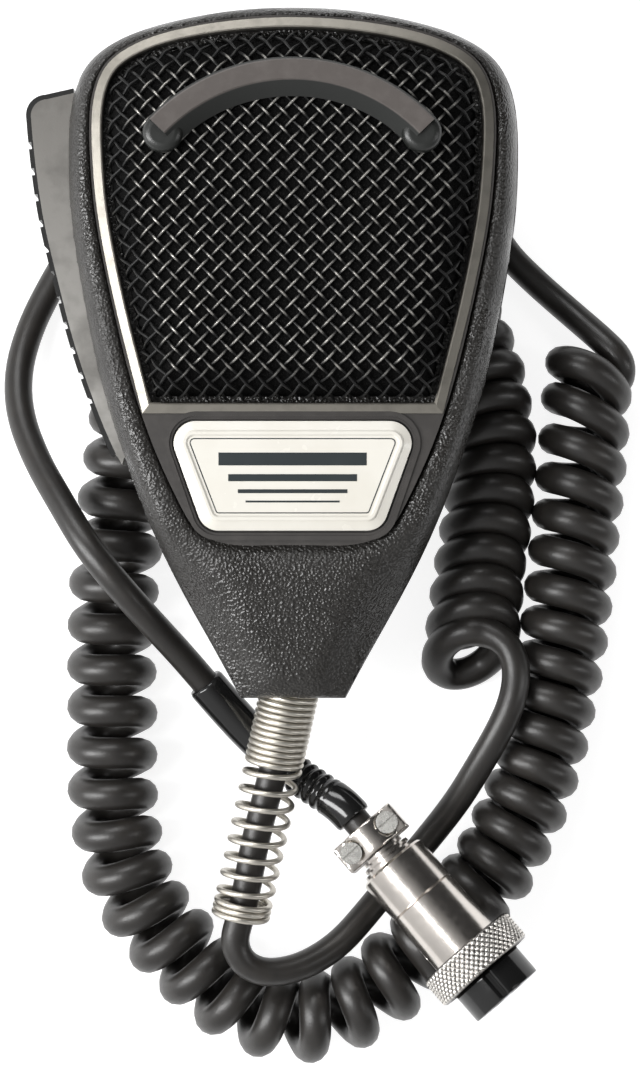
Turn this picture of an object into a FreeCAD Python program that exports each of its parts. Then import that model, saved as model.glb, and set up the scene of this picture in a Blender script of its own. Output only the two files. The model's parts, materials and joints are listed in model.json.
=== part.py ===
import FreeCAD, Part
import math
import os
import Sketcher

# Hand microphone with a curly cord, lying on its back on a table.
# Frame: millimetres, +Z up from the table and out of the grille, +Y towards the top of the
# handset, +X away from the push-to-talk lever.  The origin is the centre of the end face of the
# hang-up button, on the handset's plane of symmetry.

V = FreeCAD.Vector
doc = FreeCAD.newDocument("HandMicrophone")
sheet = doc.addObject("Spreadsheet::Sheet", "Sizes")

SIZES = [
    # handset, by height above the table
    ("floor_level", 16.4, "underside of the rear shell"),
    ("parting_level", 28.6, "joint between the two shells"),
    ("face_level", 36.0, "front rim of the front shell"),
    ("wall", 2.2, "thickness of the moulded shells"),
    ("nose_end", 68.2, "distance of the flat nose end from the origin"),
    ("baffle_level", 32.2, "underside of the front shell's inner plate"),
    ("recess_level", 34.4, "seat of the bezel frame"),
    ("bezel_top", 36.6, "top of the bezel frame"),
    ("bezel_band", 2.2, "width of the bezel round the grille"),
    ("grille_peak", 44.0, "top of the domed grille"),
    ("grille_sheet", 0.8, "thickness of the woven grille"),
    ("foam_sheet", 1.2, "thickness of the windscreen under it"),
    ("grille_foot", 21.9, "distance of the grille's straight lower edge from the origin"),
    ("brow_top", 46.2, "top of the brow guard"),
    ("brow_width", 5.9, "width of the brow guard's arch"),
    # hang-up button
    ("button_head_dia", 15.5, ""),
    ("button_head_thick", 2.8, ""),
    ("button_neck_dia", 8.5, ""),
    ("plateau_level", 6.6, "boss that carries the button"),
    ("plateau_dia", 22.0, ""),
    # lever
    ("lever_bottom", 19.4, ""),
    ("lever_top", 28.2, ""),
    ("grip_thick", 0.8, "ribbed strip on the lever"),
    ("rib_pitch", 4.15, ""),
    ("rib_groove", 1.1, ""),
    ("pivot_x", -22.8, ""),
    ("pivot_y", -27.5, ""),
    ("pivot_pin_dia", 2.2, ""),
    ("pivot_hole_dia", 2.3, ""),
    ("lever_hub_dia", 6.0, ""),
    # microphone capsule and electrics
    ("capsule_dia", 28.0, ""),
    ("capsule_depth", 7.5, ""),
    ("capsule_y", 9.0, ""),
    ("boot_wall", 1.5, ""),
    ("board_length", 19.0, ""),
    ("board_breadth", 26.0, ""),
    ("board_thick", 1.6, ""),
    ("plunger_dia", 2.4, ""),
    # case screws
    ("screw_core", 2.6, ""),
    ("screw_head", 4.8, ""),
    ("boss_dia", 5.6, ""),
    # cord
    ("cord_dia", 5.0, "jacket of the cord"),
    ("coil_dia", 15.0, "outside of the curly part"),
    ("sleeve_dia", 6.3, "shrink sleeve at the plug"),
    # strain relief spring
    ("spring_dia", 9.7, "outside of the spring"),
    ("spring_wire", 0.95, ""),
    ("spring_length", 39.6, ""),
    ("spring_close_top", 13.9, "close-wound length at the handset"),
    ("spring_close_end", 3.3, "close-wound length at the free end"),
    ("spring_turns", 8.0, "open turns"),
    # plug
    ("plug_body_dia", 11.7, ""),
    ("plug_body_length", 17.9, ""),
    ("plug_clamp_length", 7.4, ""),
    ("plug_clamp_width", 11.8, ""),
    ("plug_ring_dia", 17.2, ""),
    ("plug_ring_length", 5.1, ""),
    ("plug_insert_dia", 12.4, ""),
    ("plug_insert_reach", 5.0, "insert standing out of the ring"),
    ("plug_wall", 1.0, ""),
    ("contact_pitch", 5.4, "circle of the contacts"),
    ("contact_dia", 2.4, ""),
    ("clamp_screw_dia", 1.4, "screws of the plug's cord clamp"),
    ("clamp_head_dia", 3.5, ""),
]
for row, (alias, value, note) in enumerate(SIZES, start=1):
    sheet.set(f"A{row}", alias)
    sheet.set(f"B{row}", str(value))
    sheet.set(f"C{row}", note or alias.replace("_", " "))
    sheet.setAlias(f"B{row}", alias)
doc.recompute()


def size(alias):
    return float(sheet.get(alias))


NODES = {}


def finish_node(obj, label):
    """Name an object as a sub-part of the microphone."""
    obj.Label = label
    NODES[label] = obj
    return obj


def bind(obj, **expressions):
    """Bind properties to cells of the sheet; a bare word is a cell's alias."""
    for prop, text in expressions.items():
        obj.setExpression(prop.replace("__", "."), text)


def turned_to(direction, base):
    """Placement that takes +Z to a direction and the origin to a point."""
    return FreeCAD.Placement(base, FreeCAD.Rotation(V(0, 0, 1), direction))


def cylinder(name, radius, height, base=V(0, 0, 0), direction=V(0, 0, 1)):
    obj = doc.addObject("Part::Cylinder", name)
    bind(obj, Radius=radius, Height=height)
    obj.Placement = turned_to(direction, base)
    return obj


def cone(name, radius_low, radius_high, height, base=V(0, 0, 0)):
    obj = doc.addObject("Part::Cone", name)
    bind(obj, Radius1=radius_low, Radius2=radius_high, Height=height)
    obj.Placement = FreeCAD.Placement(base, FreeCAD.Rotation())
    return obj


def box(name, low, high):
    obj = doc.addObject("Part::Box", name)
    obj.Length = high.x - low.x
    obj.Width = high.y - low.y
    obj.Height = high.z - low.z
    obj.Placement = FreeCAD.Placement(low, FreeCAD.Rotation())
    return obj


def fuse(name, parts):
    obj = doc.addObject("Part::MultiFuse", name)
    obj.Shapes = parts
    return obj


def cut(name, base, tools):
    obj = doc.addObject("Part::Cut", name)
    obj.Base = base
    obj.Tool = tools[0] if len(tools) == 1 else fuse(name + "_tools", tools)
    return obj


def feature(name, shape, placement=None):
    obj = doc.addObject("Part::Feature", name)
    obj.Shape = shape
    if placement is not None:
        obj.Placement = placement
    return obj


def compound(name, parts):
    obj = doc.addObject("Part::Compound", name)
    obj.Links = parts
    return obj


# Bodies with sketches ------------------------------------------------------------------------

def origin_plane(body, role):
    return next(item for item in body.Origin.OriginFeatures if item.Role == role)


def new_body(name):
    return doc.addObject("PartDesign::Body", name)


def sketch_at(body, name, level, geometry, role="XY_Plane"):
    """Sketch parallel to an origin plane, at a height given by an expression."""
    sketch = body.newObject("Sketcher::SketchObject", name)
    sketch.AttachmentSupport = [(origin_plane(body, role), "")]
    sketch.MapMode = "FlatFace"
    sketch.setExpression("AttachmentOffset.Base.z", level)
    for item in geometry:
        sketch.addGeometry(item, False)
    return sketch


def closed_spline(points):
    curve = Part.BSplineCurve()
    curve.interpolate(Points=[V(x, y, 0) for x, y in points], PeriodicFlag=True)
    return [curve]


def rounded_polygon(points, radii):
    """Lines and tangent arcs round a polygon; a radius of 0 keeps a corner sharp."""
    count = len(points)
    corners = []
    for i, (point, radius) in enumerate(zip(points, radii)):
        here = V(point[0], point[1], 0)
        before = V(*points[i - 1], 0) - here
        after = V(*points[(i + 1) % count], 0) - here
        if radius == 0:
            corners.append((here, None, here))
            continue
        before.normalize()
        after.normalize()
        half = before.getAngle(after) / 2
        reach = radius / math.tan(half)
        middle = before + after
        middle.normalize()
        top = here + middle * (radius / math.sin(half) - radius)
        corners.append((here + before * reach, top, here + after * reach))
    geometry = []
    for i, (start, top, end) in enumerate(corners):
        if top is not None:
            geometry.append(Part.Arc(start, top, end))
        following = corners[(i + 1) % count][0]
        if (following - end).Length > 1e-6:
            geometry.append(Part.LineSegment(end, following))
    return geometry


def loft(body, name, sketches, cutting=False):
    kind = "PartDesign::SubtractiveLoft" if cutting else "PartDesign::AdditiveLoft"
    obj = body.newObject(kind, name)
    obj.Profile = sketches[0]
    obj.Sections = sketches[1:]
    return obj


def pad(body, name, sketch, length):
    obj = body.newObject("PartDesign::Pad", name)
    obj.Profile = sketch
    obj.setExpression("Length", length)
    return obj


def revolved(name, profile, placement=None):
    """Body turned about its own Z axis from a half profile of (radius, height) points."""
    body = new_body(name)
    sketch = body.newObject("Sketcher::SketchObject", name + "_profile")
    sketch.AttachmentSupport = [(origin_plane(body, "XZ_Plane"), "")]
    sketch.MapMode = "FlatFace"
    count = len(profile)
    for i in range(count):
        start = V(profile[i][0], profile[i][1], 0)
        end = V(profile[(i + 1) % count][0], profile[(i + 1) % count][1], 0)
        sketch.addGeometry(Part.LineSegment(start, end), False)
    turn = body.newObject("PartDesign::Revolution", name + "_turned")
    turn.Profile = sketch
    turn.ReferenceAxis = (sketch, ["V_Axis"])
    turn.Angle = 360
    if placement is not None:
        body.Placement = placement
    return body


# Outlines ------------------------------------------------------------------------------------

# Right-hand half of the case at its widest, from the top centre round to the nose.
CASE_HALF = [
    (9.4, 40.2), (18.9, 38.5), (27.4, 35.6), (31.9, 32.3), (34.3, 28.0), (35.3, 23.0),
    (35.5, 17.0), (35.2, 9.0), (34.1, 0.5), (32.5, -8.5), (30.1, -19.3), (26.6, -30.4),
    (21.6, -43.1), (17.6, -51.2), (13.6, -58.4),
]
# Right-hand half of the bezel frame, from the top centre round to its straight lower edge.
BEZEL_HALF = [
    (9.2, 37.9), (18.2, 36.4), (25.6, 33.7), (29.2, 30.8), (31.1, 26.6), (31.7, 21.8),
    (31.6, 16.5), (31.0, 9.0), (29.8, 1.5), (27.9, -7.5), (24.7, -20.2), (20.9, -30.8),
    (17.4, -38.2), (15.0, -41.8), (11.0, -43.8), (4.0, -44.2),
]


def outline(half, top, inset=0.0):
    """Closed outline from its right-hand half, moved inwards along its normals."""
    left = [(-x, y) for x, y in reversed(half)]
    points = [(0.0, top)] + half + left
    count = len(points)
    moved = []
    for i, (x, y) in enumerate(points):
        before = points[i - 1]
        after = points[(i + 1) % count]
        tangent = V(after[0] - before[0], after[1] - before[1], 0)
        tangent.normalize()
        moved.append((x + tangent.y * inset, y - tangent.x * inset))
    return moved


def footed_outline(half, top, inset, foot):
    """Outline moved inwards and closed by a straight lower edge at a given height."""
    points = outline(half, top, inset)
    right = [point for point in points[1:] if point[0] > 0 and point[1] > foot + 1.5]
    last = right[-1]
    slope = (last[0] - right[-2][0]) / (last[1] - right[-2][1])
    corner = (last[0] + slope * (foot - last[1]), foot)
    chain = right + [corner]
    chain = [(-x, y) for x, y in reversed(chain)] + [points[0]] + chain
    curve = Part.BSplineCurve()
    curve.interpolate(Points=[V(x, y, 0) for x, y in chain])
    return [curve, Part.LineSegment(V(*corner, 0), V(-corner[0], foot, 0))]


def case_outline(inset):
    return footed_outline(CASE_HALF, 40.7, inset, inset - size("nose_end"))


def bezel_outline(inset):
    return closed_spline(outline(BEZEL_HALF, 38.4, inset))


# Shells --------------------------------------------------------------------------------------

SIDE_DRAFT = 0.8
FLOOR_EDGE = 2.8
FLOOR_INSET = 5.2
FACE_EDGE = 2.6


def shell_loft(body, name, levels, extra=0.0, cutting=False):
    """Loft through case outlines; each level is (expression for the height, inset)."""
    sketches = []
    for number, (level, inset) in enumerate(levels):
        geometry = case_outline(inset + extra)
        sketches.append(sketch_at(body, f"{name}_{number}", level, geometry))
    return loft(body, name, sketches, cutting)


BOARD_SCREW_X = (-9.0, 9.0)
BOARD_SCREW_Y = -45.6
SCREW_PLACES = [(20.0, 30.5), (-20.0, 30.5), (11.0, -50.5), (-11.0, -50.5)]
PIVOT = V(size("pivot_x"), size("pivot_y"), 0)
inner_floor = size("floor_level") + size("wall")

# Cable way through the nose: the strain relief leans a little to the lever's side and down.
RELIEF_START = V(-0.3, -66.0, 23.9)
RELIEF_END = V(-8.7, -104.4, 18.6)
RELIEF_DIR = (RELIEF_END - RELIEF_START).normalize()


def relief_bore(name):
    radius = "Sizes.spring_dia / 2 + 0.25"
    return cylinder(name, radius, "10", RELIEF_START - RELIEF_DIR * 5, RELIEF_DIR)


rear_body = new_body("rear_shell_body")
shell_loft(rear_body, "rear_outside", [
    ("Sizes.floor_level", FLOOR_INSET),
    ("Sizes.floor_level + 1.4", FLOOR_EDGE),
    ("Sizes.floor_level + 5", SIDE_DRAFT),
    ("Sizes.parting_level", 0.0),
])
shell_loft(rear_body, "rear_inside", [
    ("Sizes.floor_level + Sizes.wall", FLOOR_EDGE),
    ("Sizes.floor_level + 5", SIDE_DRAFT),
    ("Sizes.parting_level", 0.0),
], extra=size("wall"), cutting=True)
plateau_cone = cone(
    "plateau_cone", "Sizes.plateau_dia / 2", "Sizes.plateau_dia / 2 + 4.5",
    "Sizes.floor_level + 1 - Sizes.plateau_level", V(0, 0, size("plateau_level")))
plateau_hollow = cone(
    "plateau_hollow", "Sizes.plateau_dia / 2 - 3", "Sizes.plateau_dia / 2 + 1.5",
    "Sizes.floor_level + 1 - Sizes.plateau_level", V(0, 0, size("plateau_level") + 2.4))
screw_pads = [
    cylinder(f"screw_pad_{i}", "4.2", "2.4", V(x, y, size("floor_level") + 1.2))
    for i, (x, y) in enumerate(SCREW_PLACES)
]
pivot_pad = cylinder("pivot_pad", "3.0", "2.0", PIVOT + V(0, 0, size("floor_level") + 0.6))
spring_post = box("spring_post", V(-23.6, 14.0, inner_floor - 0.5), V(-22.0, 22.0, 27.0))
switch_rest = box("switch_rest", V(-23.0, -17.0, inner_floor - 0.5), V(-15.0, -7.0, 19.6))
board_posts = [
    cylinder(f"board_post_{i}", "2.2", "2.4", V(x, BOARD_SCREW_Y, inner_floor - 0.4))
    for i, x in enumerate(BOARD_SCREW_X)
]
rear_solid = fuse("rear_solid", [rear_body, plateau_cone, pivot_pad]
                  + screw_pads + board_posts)
rear_holes = [plateau_hollow, relief_bore("rear_bore")]
rear_holes.append(box("lever_slot", V(-50, -33.0, size("lever_bottom") - 0.3), V(-19, 29.4, 40)))
rear_holes += [cylinder(f"board_pilot_{i}", "1.0", "4", V(x, BOARD_SCREW_Y, inner_floor + 0.2))
               for i, x in enumerate(BOARD_SCREW_X)]
rear_holes.append(cylinder("rivet_hole", "2.0", "10", V(0, 0, 0)))
rear_holes.append(cylinder("pivot_socket", "Sizes.pivot_pin_dia / 2", "3",
                           PIVOT + V(0, 0, size("floor_level") + 1.0)))
for i, (x, y) in enumerate(SCREW_PLACES):
    rear_holes.append(cylinder(f"head_recess_{i}", "Sizes.screw_head / 2 + 0.2",
                               "2.2", V(x, y, size("floor_level") - 0.4)))
    rear_holes.append(cylinder(f"shank_way_{i}", "Sizes.screw_core / 2 + 0.1", "6",
                               V(x, y, size("floor_level"))))
rear_cut = cut("rear_cut", rear_solid, rear_holes)
finish_node(fuse("rear_joined", [rear_cut, spring_post, switch_rest]), "rear_shell")

front_body = new_body("front_shell_body")
shell_loft(front_body, "front_outside", [
    ("Sizes.parting_level", 0.0),
    ("Sizes.parting_level + 3.4", 0.5),
    ("Sizes.face_level - 1.2", 1.5),
    ("Sizes.face_level", FACE_EDGE),
])
shell_loft(front_body, "front_inside", [
    ("Sizes.parting_level", 0.0),
    ("Sizes.parting_level + 2", 0.4),
    ("Sizes.baffle_level", 1.0),
], extra=size("wall"), cutting=True)
recess = front_body.newObject("PartDesign::Pocket", "bezel_recess")
recess.Profile = sketch_at(front_body, "recess_outline", "Sizes.face_level", bezel_outline(-0.1))
recess.setExpression("Length", "Sizes.face_level - Sizes.recess_level")
front_bosses = [
    cylinder(f"front_boss_{i}", "Sizes.boss_dia / 2", "Sizes.baffle_level - 20.2 + 0.5",
             V(x, y, 20.2))
    for i, (x, y) in enumerate(SCREW_PLACES)
]
nose_roof = box("nose_roof", V(-7.6, -66.8, 30.4), V(7.6, -58.0, 32.6))
front_solid = fuse("front_solid", [front_body, nose_roof] + front_bosses)
front_holes = [relief_bore("front_bore")]
front_holes.append(cylinder("capsule_way", "Sizes.capsule_dia / 2 + Sizes.boot_wall", "10",
                            V(0, size("capsule_y"), 30)))
for i, (x, y) in enumerate(SCREW_PLACES):
    front_holes.append(cylinder(f"pilot_{i}", "Sizes.screw_core / 2", "9.5", V(x, y, 19.8)))
# The lower front slopes away from the bezel towards the nose.
slope = Part.makePolygon([V(-40, -47.0, 36.2), V(-40, -70.0, 31.4), V(-40, -75.0, 31.4),
                          V(-40, -75.0, 45.0), V(-40, -47.0, 45.0), V(-40, -47.0, 36.2)])
front_holes.append(feature("nose_slope", Part.Face(slope).extrude(V(80, 0, 0))))
finish_node(cut("front_cut", front_solid, front_holes), "front_shell")

# Bezel, grille, brow guard and badge ---------------------------------------------------------

BADGE_TOP = -24.8
BADGE_FOOT = -41.8
BADGE_POINTS = [(-19.9, BADGE_TOP), (19.9, BADGE_TOP), (13.8, BADGE_FOOT), (-13.8, BADGE_FOOT)]
BADGE_RADII = [3.4, 3.4, 3.2, 3.2]


def badge_outline(grow):
    """Badge trapezium with rounded corners, grown outwards."""
    points = []
    for x, y in BADGE_POINTS:
        side = grow if x > 0 else -grow
        lift = grow if y == BADGE_TOP else -grow
        points.append((x + side * (1.25 if y == BADGE_TOP else 0.8), y + lift))
    return rounded_polygon(points, [radius + grow for radius in BADGE_RADII])


def grille_outline(inset):
    """Opening of the bezel, with a straight lower edge."""
    foot = inset - size("bezel_band") - size("grille_foot")
    return footed_outline(BEZEL_HALF, 38.4, inset, foot)


bezel_body = new_body("bezel_frame_body")
pad(bezel_body, "bezel_plate",
    sketch_at(bezel_body, "bezel_plan", "Sizes.recess_level", bezel_outline(0.1)),
    "Sizes.bezel_top - Sizes.recess_level")
window = bezel_body.newObject("PartDesign::Pocket", "grille_window")
window.Profile = sketch_at(bezel_body, "window_plan", "Sizes.bezel_top",
                           grille_outline(size("bezel_band")))
window.Type = 1
badge_seat = bezel_body.newObject("PartDesign::Pocket", "badge_seat")
badge_seat.Profile = sketch_at(bezel_body, "seat_plan", "Sizes.bezel_top", badge_outline(0.35))
badge_seat.setExpression("Length", "0.9")


def badge_slab(grow, height):
    wire = Part.Wire([item.toShape() for item in badge_outline(grow)])
    slab = Part.Face(wire).extrude(V(0, 0, height))
    slab.translate(V(0, 0, size("bezel_top") - 0.6))
    return slab


badge_rim_solid = feature("badge_rim", badge_slab(1.5, 0.95).cut(badge_slab(0.8, 2.0)))
finish_node(fuse("bezel_with_rim", [bezel_body, badge_rim_solid]), "bezel_frame")

badge_body = new_body("badge_body")
loft(badge_body, "badge_dome", [
    sketch_at(badge_body, "badge_low", "Sizes.bezel_top - 0.9", badge_outline(0.0)),
    sketch_at(badge_body, "badge_side", "Sizes.bezel_top + 0.2", badge_outline(0.0)),
])
loft(badge_body, "badge_crown", [
    sketch_at(badge_body, "badge_mid", "Sizes.bezel_top + 0.2", badge_outline(0.0)),
    sketch_at(badge_body, "badge_high", "Sizes.bezel_top + 0.7", badge_outline(-1.4)),
])
finish_node(badge_body, "badge")

# The grille's dome: (height above the bezel's seat, share of the opening's width).
DOME = [(0.0, 1.0), (3.4, 0.985), (6.0, 0.94), (8.0, 0.84), (9.1, 0.68), (9.6, 0.42)]
DOME_CENTRE_Y = 7.2


DOME_START = 1.0


def dome_shape(inset, low=0.0):
    """Closed dome whose outlines shrink as it rises, cut level at a height above the seat."""
    base = size("recess_level")
    first = grille_outline(size("bezel_band") + 0.15 + inset)
    sections = [(base - DOME_START, 1.0)]
    sections += [(base + (rise - inset if rise else 0.0), share) for rise, share in DOME]
    wires = []
    for level, share in sections:
        matrix = FreeCAD.Matrix()
        matrix.move(V(0, -DOME_CENTRE_Y, 0))
        matrix.scale(share, share, 1.0)
        matrix.move(V(0, DOME_CENTRE_Y, level))
        edges = [item.toShape().transformGeometry(matrix) for item in first]
        wires.append(Part.Wire(edges))
    whole = Part.makeLoft(wires, True, False)
    below = Part.makeBox(200, 200, 40, V(-100, -100, base + low - 40))
    return whole.cut(below)


sheet_t = size("grille_sheet")
grille_dome = dome_shape(0.0).cut(dome_shape(sheet_t, -0.5))
foam_dome = dome_shape(sheet_t + 0.05).cut(dome_shape(sheet_t + size("foam_sheet"), -0.5))
finish_node(feature("grille_dome", grille_dome), "grille_mesh")
finish_node(feature("foam_dome", foam_dome), "windscreen_foam")

# Brow guard: an arch on the grille with a level crown, a slope towards its centre and round pads.
BROW_CENTRE = V(0, 0, 0)
BROW_OUTER = 30.5
BROW_HALF_DEG = 46.0
BROW_CROWN = 3.3
BROW_SLOPE = 2.6
BROW_EASE = 0.5
BROW_DEPTH = 5.2
PAD_RADIUS = 3.1
PAD_STEP = 0.7
PAD_EASE = 1.3
brow_top = size("brow_top")
brow_foot = size("grille_peak") - BROW_DEPTH
brow_inner = BROW_OUTER - size("brow_width")
brow_section = [
    V(brow_inner, 0, brow_foot), V(BROW_OUTER, 0, brow_foot),
    V(BROW_OUTER, 0, brow_top - BROW_EASE), V(BROW_OUTER - BROW_EASE, 0, brow_top),
    V(BROW_OUTER - BROW_CROWN, 0, brow_top), V(brow_inner, 0, brow_top - BROW_SLOPE),
]
brow_face = Part.Face(Part.makePolygon(brow_section + brow_section[:1]))
brow_face.rotate(BROW_CENTRE, V(0, 0, 1), 90 - BROW_HALF_DEG)
brow_arch = brow_face.revolve(BROW_CENTRE, V(0, 0, 1), 2 * BROW_HALF_DEG)
brow_middle = BROW_OUTER - size("brow_width") / 2
for side in (-1, 1):
    pad_angle = math.radians(90 + side * BROW_HALF_DEG)
    pad_foot = V(brow_middle * math.cos(pad_angle), brow_middle * math.sin(pad_angle), brow_foot)
    pad_height = brow_top - PAD_STEP - brow_foot
    pad = Part.makeCylinder(PAD_RADIUS, pad_height, pad_foot)
    pad_rim = [edge for edge in pad.Edges
               if abs(edge.CenterOfMass.z - brow_top + PAD_STEP) < 1e-6 and edge.Closed]
    brow_arch = brow_arch.fuse(pad.makeFillet(PAD_EASE, pad_rim))
brow_arch = brow_arch.removeSplitter().cut(dome_shape(-0.02))
finish_node(feature("brow_arch", brow_arch), "brow_guard")

# Microphone capsule --------------------------------------------------------------------------

capsule_seat = V(0, size("capsule_y"), 0)
capsule_top = size("baffle_level") + 2.6
capsule_low = capsule_top - size("capsule_depth")
capsule_base = fuse("capsule_parts", [
    cylinder("capsule_can", "Sizes.capsule_dia / 2", "Sizes.capsule_depth",
             capsule_seat + V(0, 0, capsule_low)),
    cylinder("capsule_magnet", "8.0", "2.6", capsule_seat + V(0, 0, capsule_low - 2.5)),
])
finish_node(capsule_base, "mic_capsule")
boot_outer = cylinder("boot_outer", "Sizes.capsule_dia / 2 + Sizes.boot_wall",
                      "Sizes.capsule_depth - 0.6", capsule_seat + V(0, 0, capsule_low + 0.6))
boot_inner = cylinder("boot_inner", "Sizes.capsule_dia / 2", "20",
                      capsule_seat + V(0, 0, capsule_low - 5))
finish_node(cut("boot_ring", boot_outer, [boot_inner]), "capsule_boot")

# Hang-up button and its screw ----------------------------------------------------------------

head_r = size("button_head_dia") / 2
neck_r = size("button_neck_dia") / 2
head_t = size("button_head_thick")
finish_node(revolved("button_turned", [
    (0, 0), (head_r - 0.8, 0), (head_r, 0.8), (head_r, head_t - 0.6), (head_r - 0.6, head_t),
    (neck_r, head_t + 0.4), (neck_r, size("plateau_level")), (1.5, size("plateau_level")),
    (1.5, 3.4), (0, 3.4),
]), "hang_button")
finish_node(revolved("button_screw_turned", [
    (0, 3.5), (1.5, 3.5), (1.5, size("plateau_level") + 2.4), (3.0, size("plateau_level") + 2.4),
    (3.0, size("plateau_level") + 3.6), (2.2, size("plateau_level") + 4.2),
    (0, size("plateau_level") + 4.2),
]), "button_screw")

# Case screws ---------------------------------------------------------------------------------


def screw(name, head_r, core_r, head_t, length, placement, slot=0.6):
    """Pan head screw whose head sits at the origin and whose core runs along +Z."""
    head = cylinder(name + "_head", str(head_r), str(head_t))
    core = cylinder(name + "_core", str(core_r), str(length), V(0, 0, head_t))
    cross = [box(name + "_slot_x", V(-head_r * 0.6, -slot / 2, -1), V(head_r * 0.6, slot / 2, 0.7)),
             box(name + "_slot_y", V(-slot / 2, -head_r * 0.6, -1), V(slot / 2, head_r * 0.6, 0.7))]
    whole = cut(name, fuse(name + "_blank", [head, core]), cross)
    whole.Placement = placement
    return whole


case_screws = [
    screw(f"case_screw_{i}", size("screw_head") / 2, size("screw_core") / 2, 1.6, 10.6,
          FreeCAD.Placement(V(x, y, size("floor_level") + 0.2), FreeCAD.Rotation()))
    for i, (x, y) in enumerate(SCREW_PLACES)
]
finish_node(compound("case_screw_set", case_screws), "case_screws")

# Push-to-talk lever --------------------------------------------------------------------------

# Outer edge of the lever from its top corner down to its pivot end.
LEVER_OUTER = [(-42.2, 23.6), (-41.4, 15.3), (-39.9, 5.8), (-38.0, -2.2), (-35.8, -10.8),
               (-33.1, -19.2), (-30.5, -26.0), (-28.7, -30.0)]
LEVER_INNER = [(-25.2, -26.0), (-26.9, -20.0), (-29.3, -10.0), (-31.2, 0.0), (-32.3, 10.0),
               (-32.3, 20.0), (-31.6, 27.0)]


def open_spline(points):
    curve = Part.BSplineCurve()
    curve.interpolate(Points=[V(x, y, 0) for x, y in points])
    return curve


def shifted(points, distance):
    """Points of an open chain moved sideways along their normals."""
    moved = []
    for i, (x, y) in enumerate(points):
        before = points[max(i - 1, 0)]
        after = points[min(i + 1, len(points) - 1)]
        tangent = V(after[0] - before[0], after[1] - before[1], 0)
        tangent.normalize()
        moved.append((x - tangent.y * distance, y + tangent.x * distance))
    return moved


def plan_face(edges):
    return Part.Face(Part.Wire(Part.__sortEdges__([edge.toShape() for edge in edges])))


grip = size("grip_thick")
metal_outer = shifted(LEVER_OUTER, grip)
top_corner = (-38.9, 26.3)
top_end = (-34.6, 27.3)
foot_end = (-27.0, -31.4)
strip_corner = (top_corner[0] - 0.25, top_corner[1] + grip)
strip_end = (top_end[0] - 0.1, top_end[1] + grip)


def corner_arc(start, end, bulge):
    middle = ((start[0] + end[0]) / 2 + bulge[0], (start[1] + end[1]) / 2 + bulge[1])
    return Part.Arc(V(*start, 0), V(*middle, 0), V(*end, 0))


lever_edges = [
    open_spline(metal_outer),
    corner_arc(metal_outer[0], top_corner, (-0.55, 0.5)),
    Part.LineSegment(V(*top_corner, 0), V(*top_end, 0)),
    Part.LineSegment(V(*top_end, 0), V(LEVER_INNER[-1][0], LEVER_INNER[-1][1] + 0.9, 0)),
    Part.LineSegment(V(LEVER_INNER[-1][0], LEVER_INNER[-1][1] + 0.9, 0), V(*LEVER_INNER[-1], 0)),
    open_spline(LEVER_INNER),
    Part.LineSegment(V(*LEVER_INNER[0], 0), V(*foot_end, 0)),
    Part.LineSegment(V(*foot_end, 0), V(*metal_outer[-1], 0)),
]
lever_low = size("lever_bottom")
lever_high = size("lever_top")
lever_plate = plan_face(lever_edges).extrude(V(0, 0, lever_high - lever_low))
lever_plate.translate(V(0, 0, lever_low))
hub_r = size("lever_hub_dia") / 2
hub_low = lever_low + 2.2
hub = Part.makeCylinder(hub_r, lever_high - hub_low, V(PIVOT.x, PIVOT.y, hub_low))
web = Part.makeBox(5.5, 5.0, lever_high - hub_low, V(-28.0, -30.0, hub_low))
striker = Part.makeBox(3.0, 5.0, 4.0, V(-29.9, -14.5, 21.2))
stop = Part.makeBox(2.0, 4.0, 5.0, V(-29.7, 26.0, 22.0))
bridge = Part.makeBox(3.0, 1.8, 5.0, V(-32.0, 26.0, 22.0))
lever_shape = lever_plate.fuse([hub, web, striker, stop, bridge])
pivot_hole = Part.makeCylinder(size("pivot_hole_dia") / 2, 30, V(PIVOT.x, PIVOT.y, 5))
finish_node(feature("lever_whole", lever_shape.cut(pivot_hole).removeSplitter()), "ptt_lever")

strip_edges = [
    open_spline(LEVER_OUTER),
    open_spline(metal_outer),
    corner_arc(metal_outer[0], top_corner, (-0.55, 0.5)),
    corner_arc(LEVER_OUTER[0], strip_corner, (-0.75, 0.65)),
    Part.LineSegment(V(*top_corner, 0), V(*top_end, 0)),
    Part.LineSegment(V(*strip_corner, 0), V(*strip_end, 0)),
    Part.LineSegment(V(*strip_end, 0), V(*top_end, 0)),
    Part.LineSegment(V(*LEVER_OUTER[-1], 0), V(*metal_outer[-1], 0)),
]
strip = plan_face(strip_edges).extrude(V(0, 0, lever_high - lever_low - 1.0))
strip.translate(V(0, 0, lever_low + 0.5))
groove_depth = grip * 0.6
outer_curve = open_spline(LEVER_OUTER)
groove_count = 11
first_groove = 4.6
grooves = []
for number in range(groove_count):
    along = first_groove + number * size("rib_pitch")
    parameter = outer_curve.parameterAtDistance(along, outer_curve.FirstParameter)
    spot = outer_curve.value(parameter)
    tangent = V(*outer_curve.tangent(parameter)[0])
    block = Part.makeBox(size("rib_groove"), 2 * groove_depth, 20,
                         V(-size("rib_groove") / 2, -groove_depth, 0))
    angle = math.degrees(math.atan2(tangent.y, tangent.x))
    block.rotate(V(0, 0, 0), V(0, 0, 1), angle)
    block.translate(V(spot.x, spot.y, lever_low - 2))
    grooves.append(block)
finish_node(feature("grip_strip", strip.cut(grooves)), "lever_grip")

finish_node(cylinder("pivot_pin_rod", "Sizes.pivot_pin_dia / 2",
                     "Sizes.lever_top - Sizes.floor_level - 0.8",
                     PIVOT + V(0, 0, size("floor_level") + 1.0)), "lever_pivot_pin")

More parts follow.
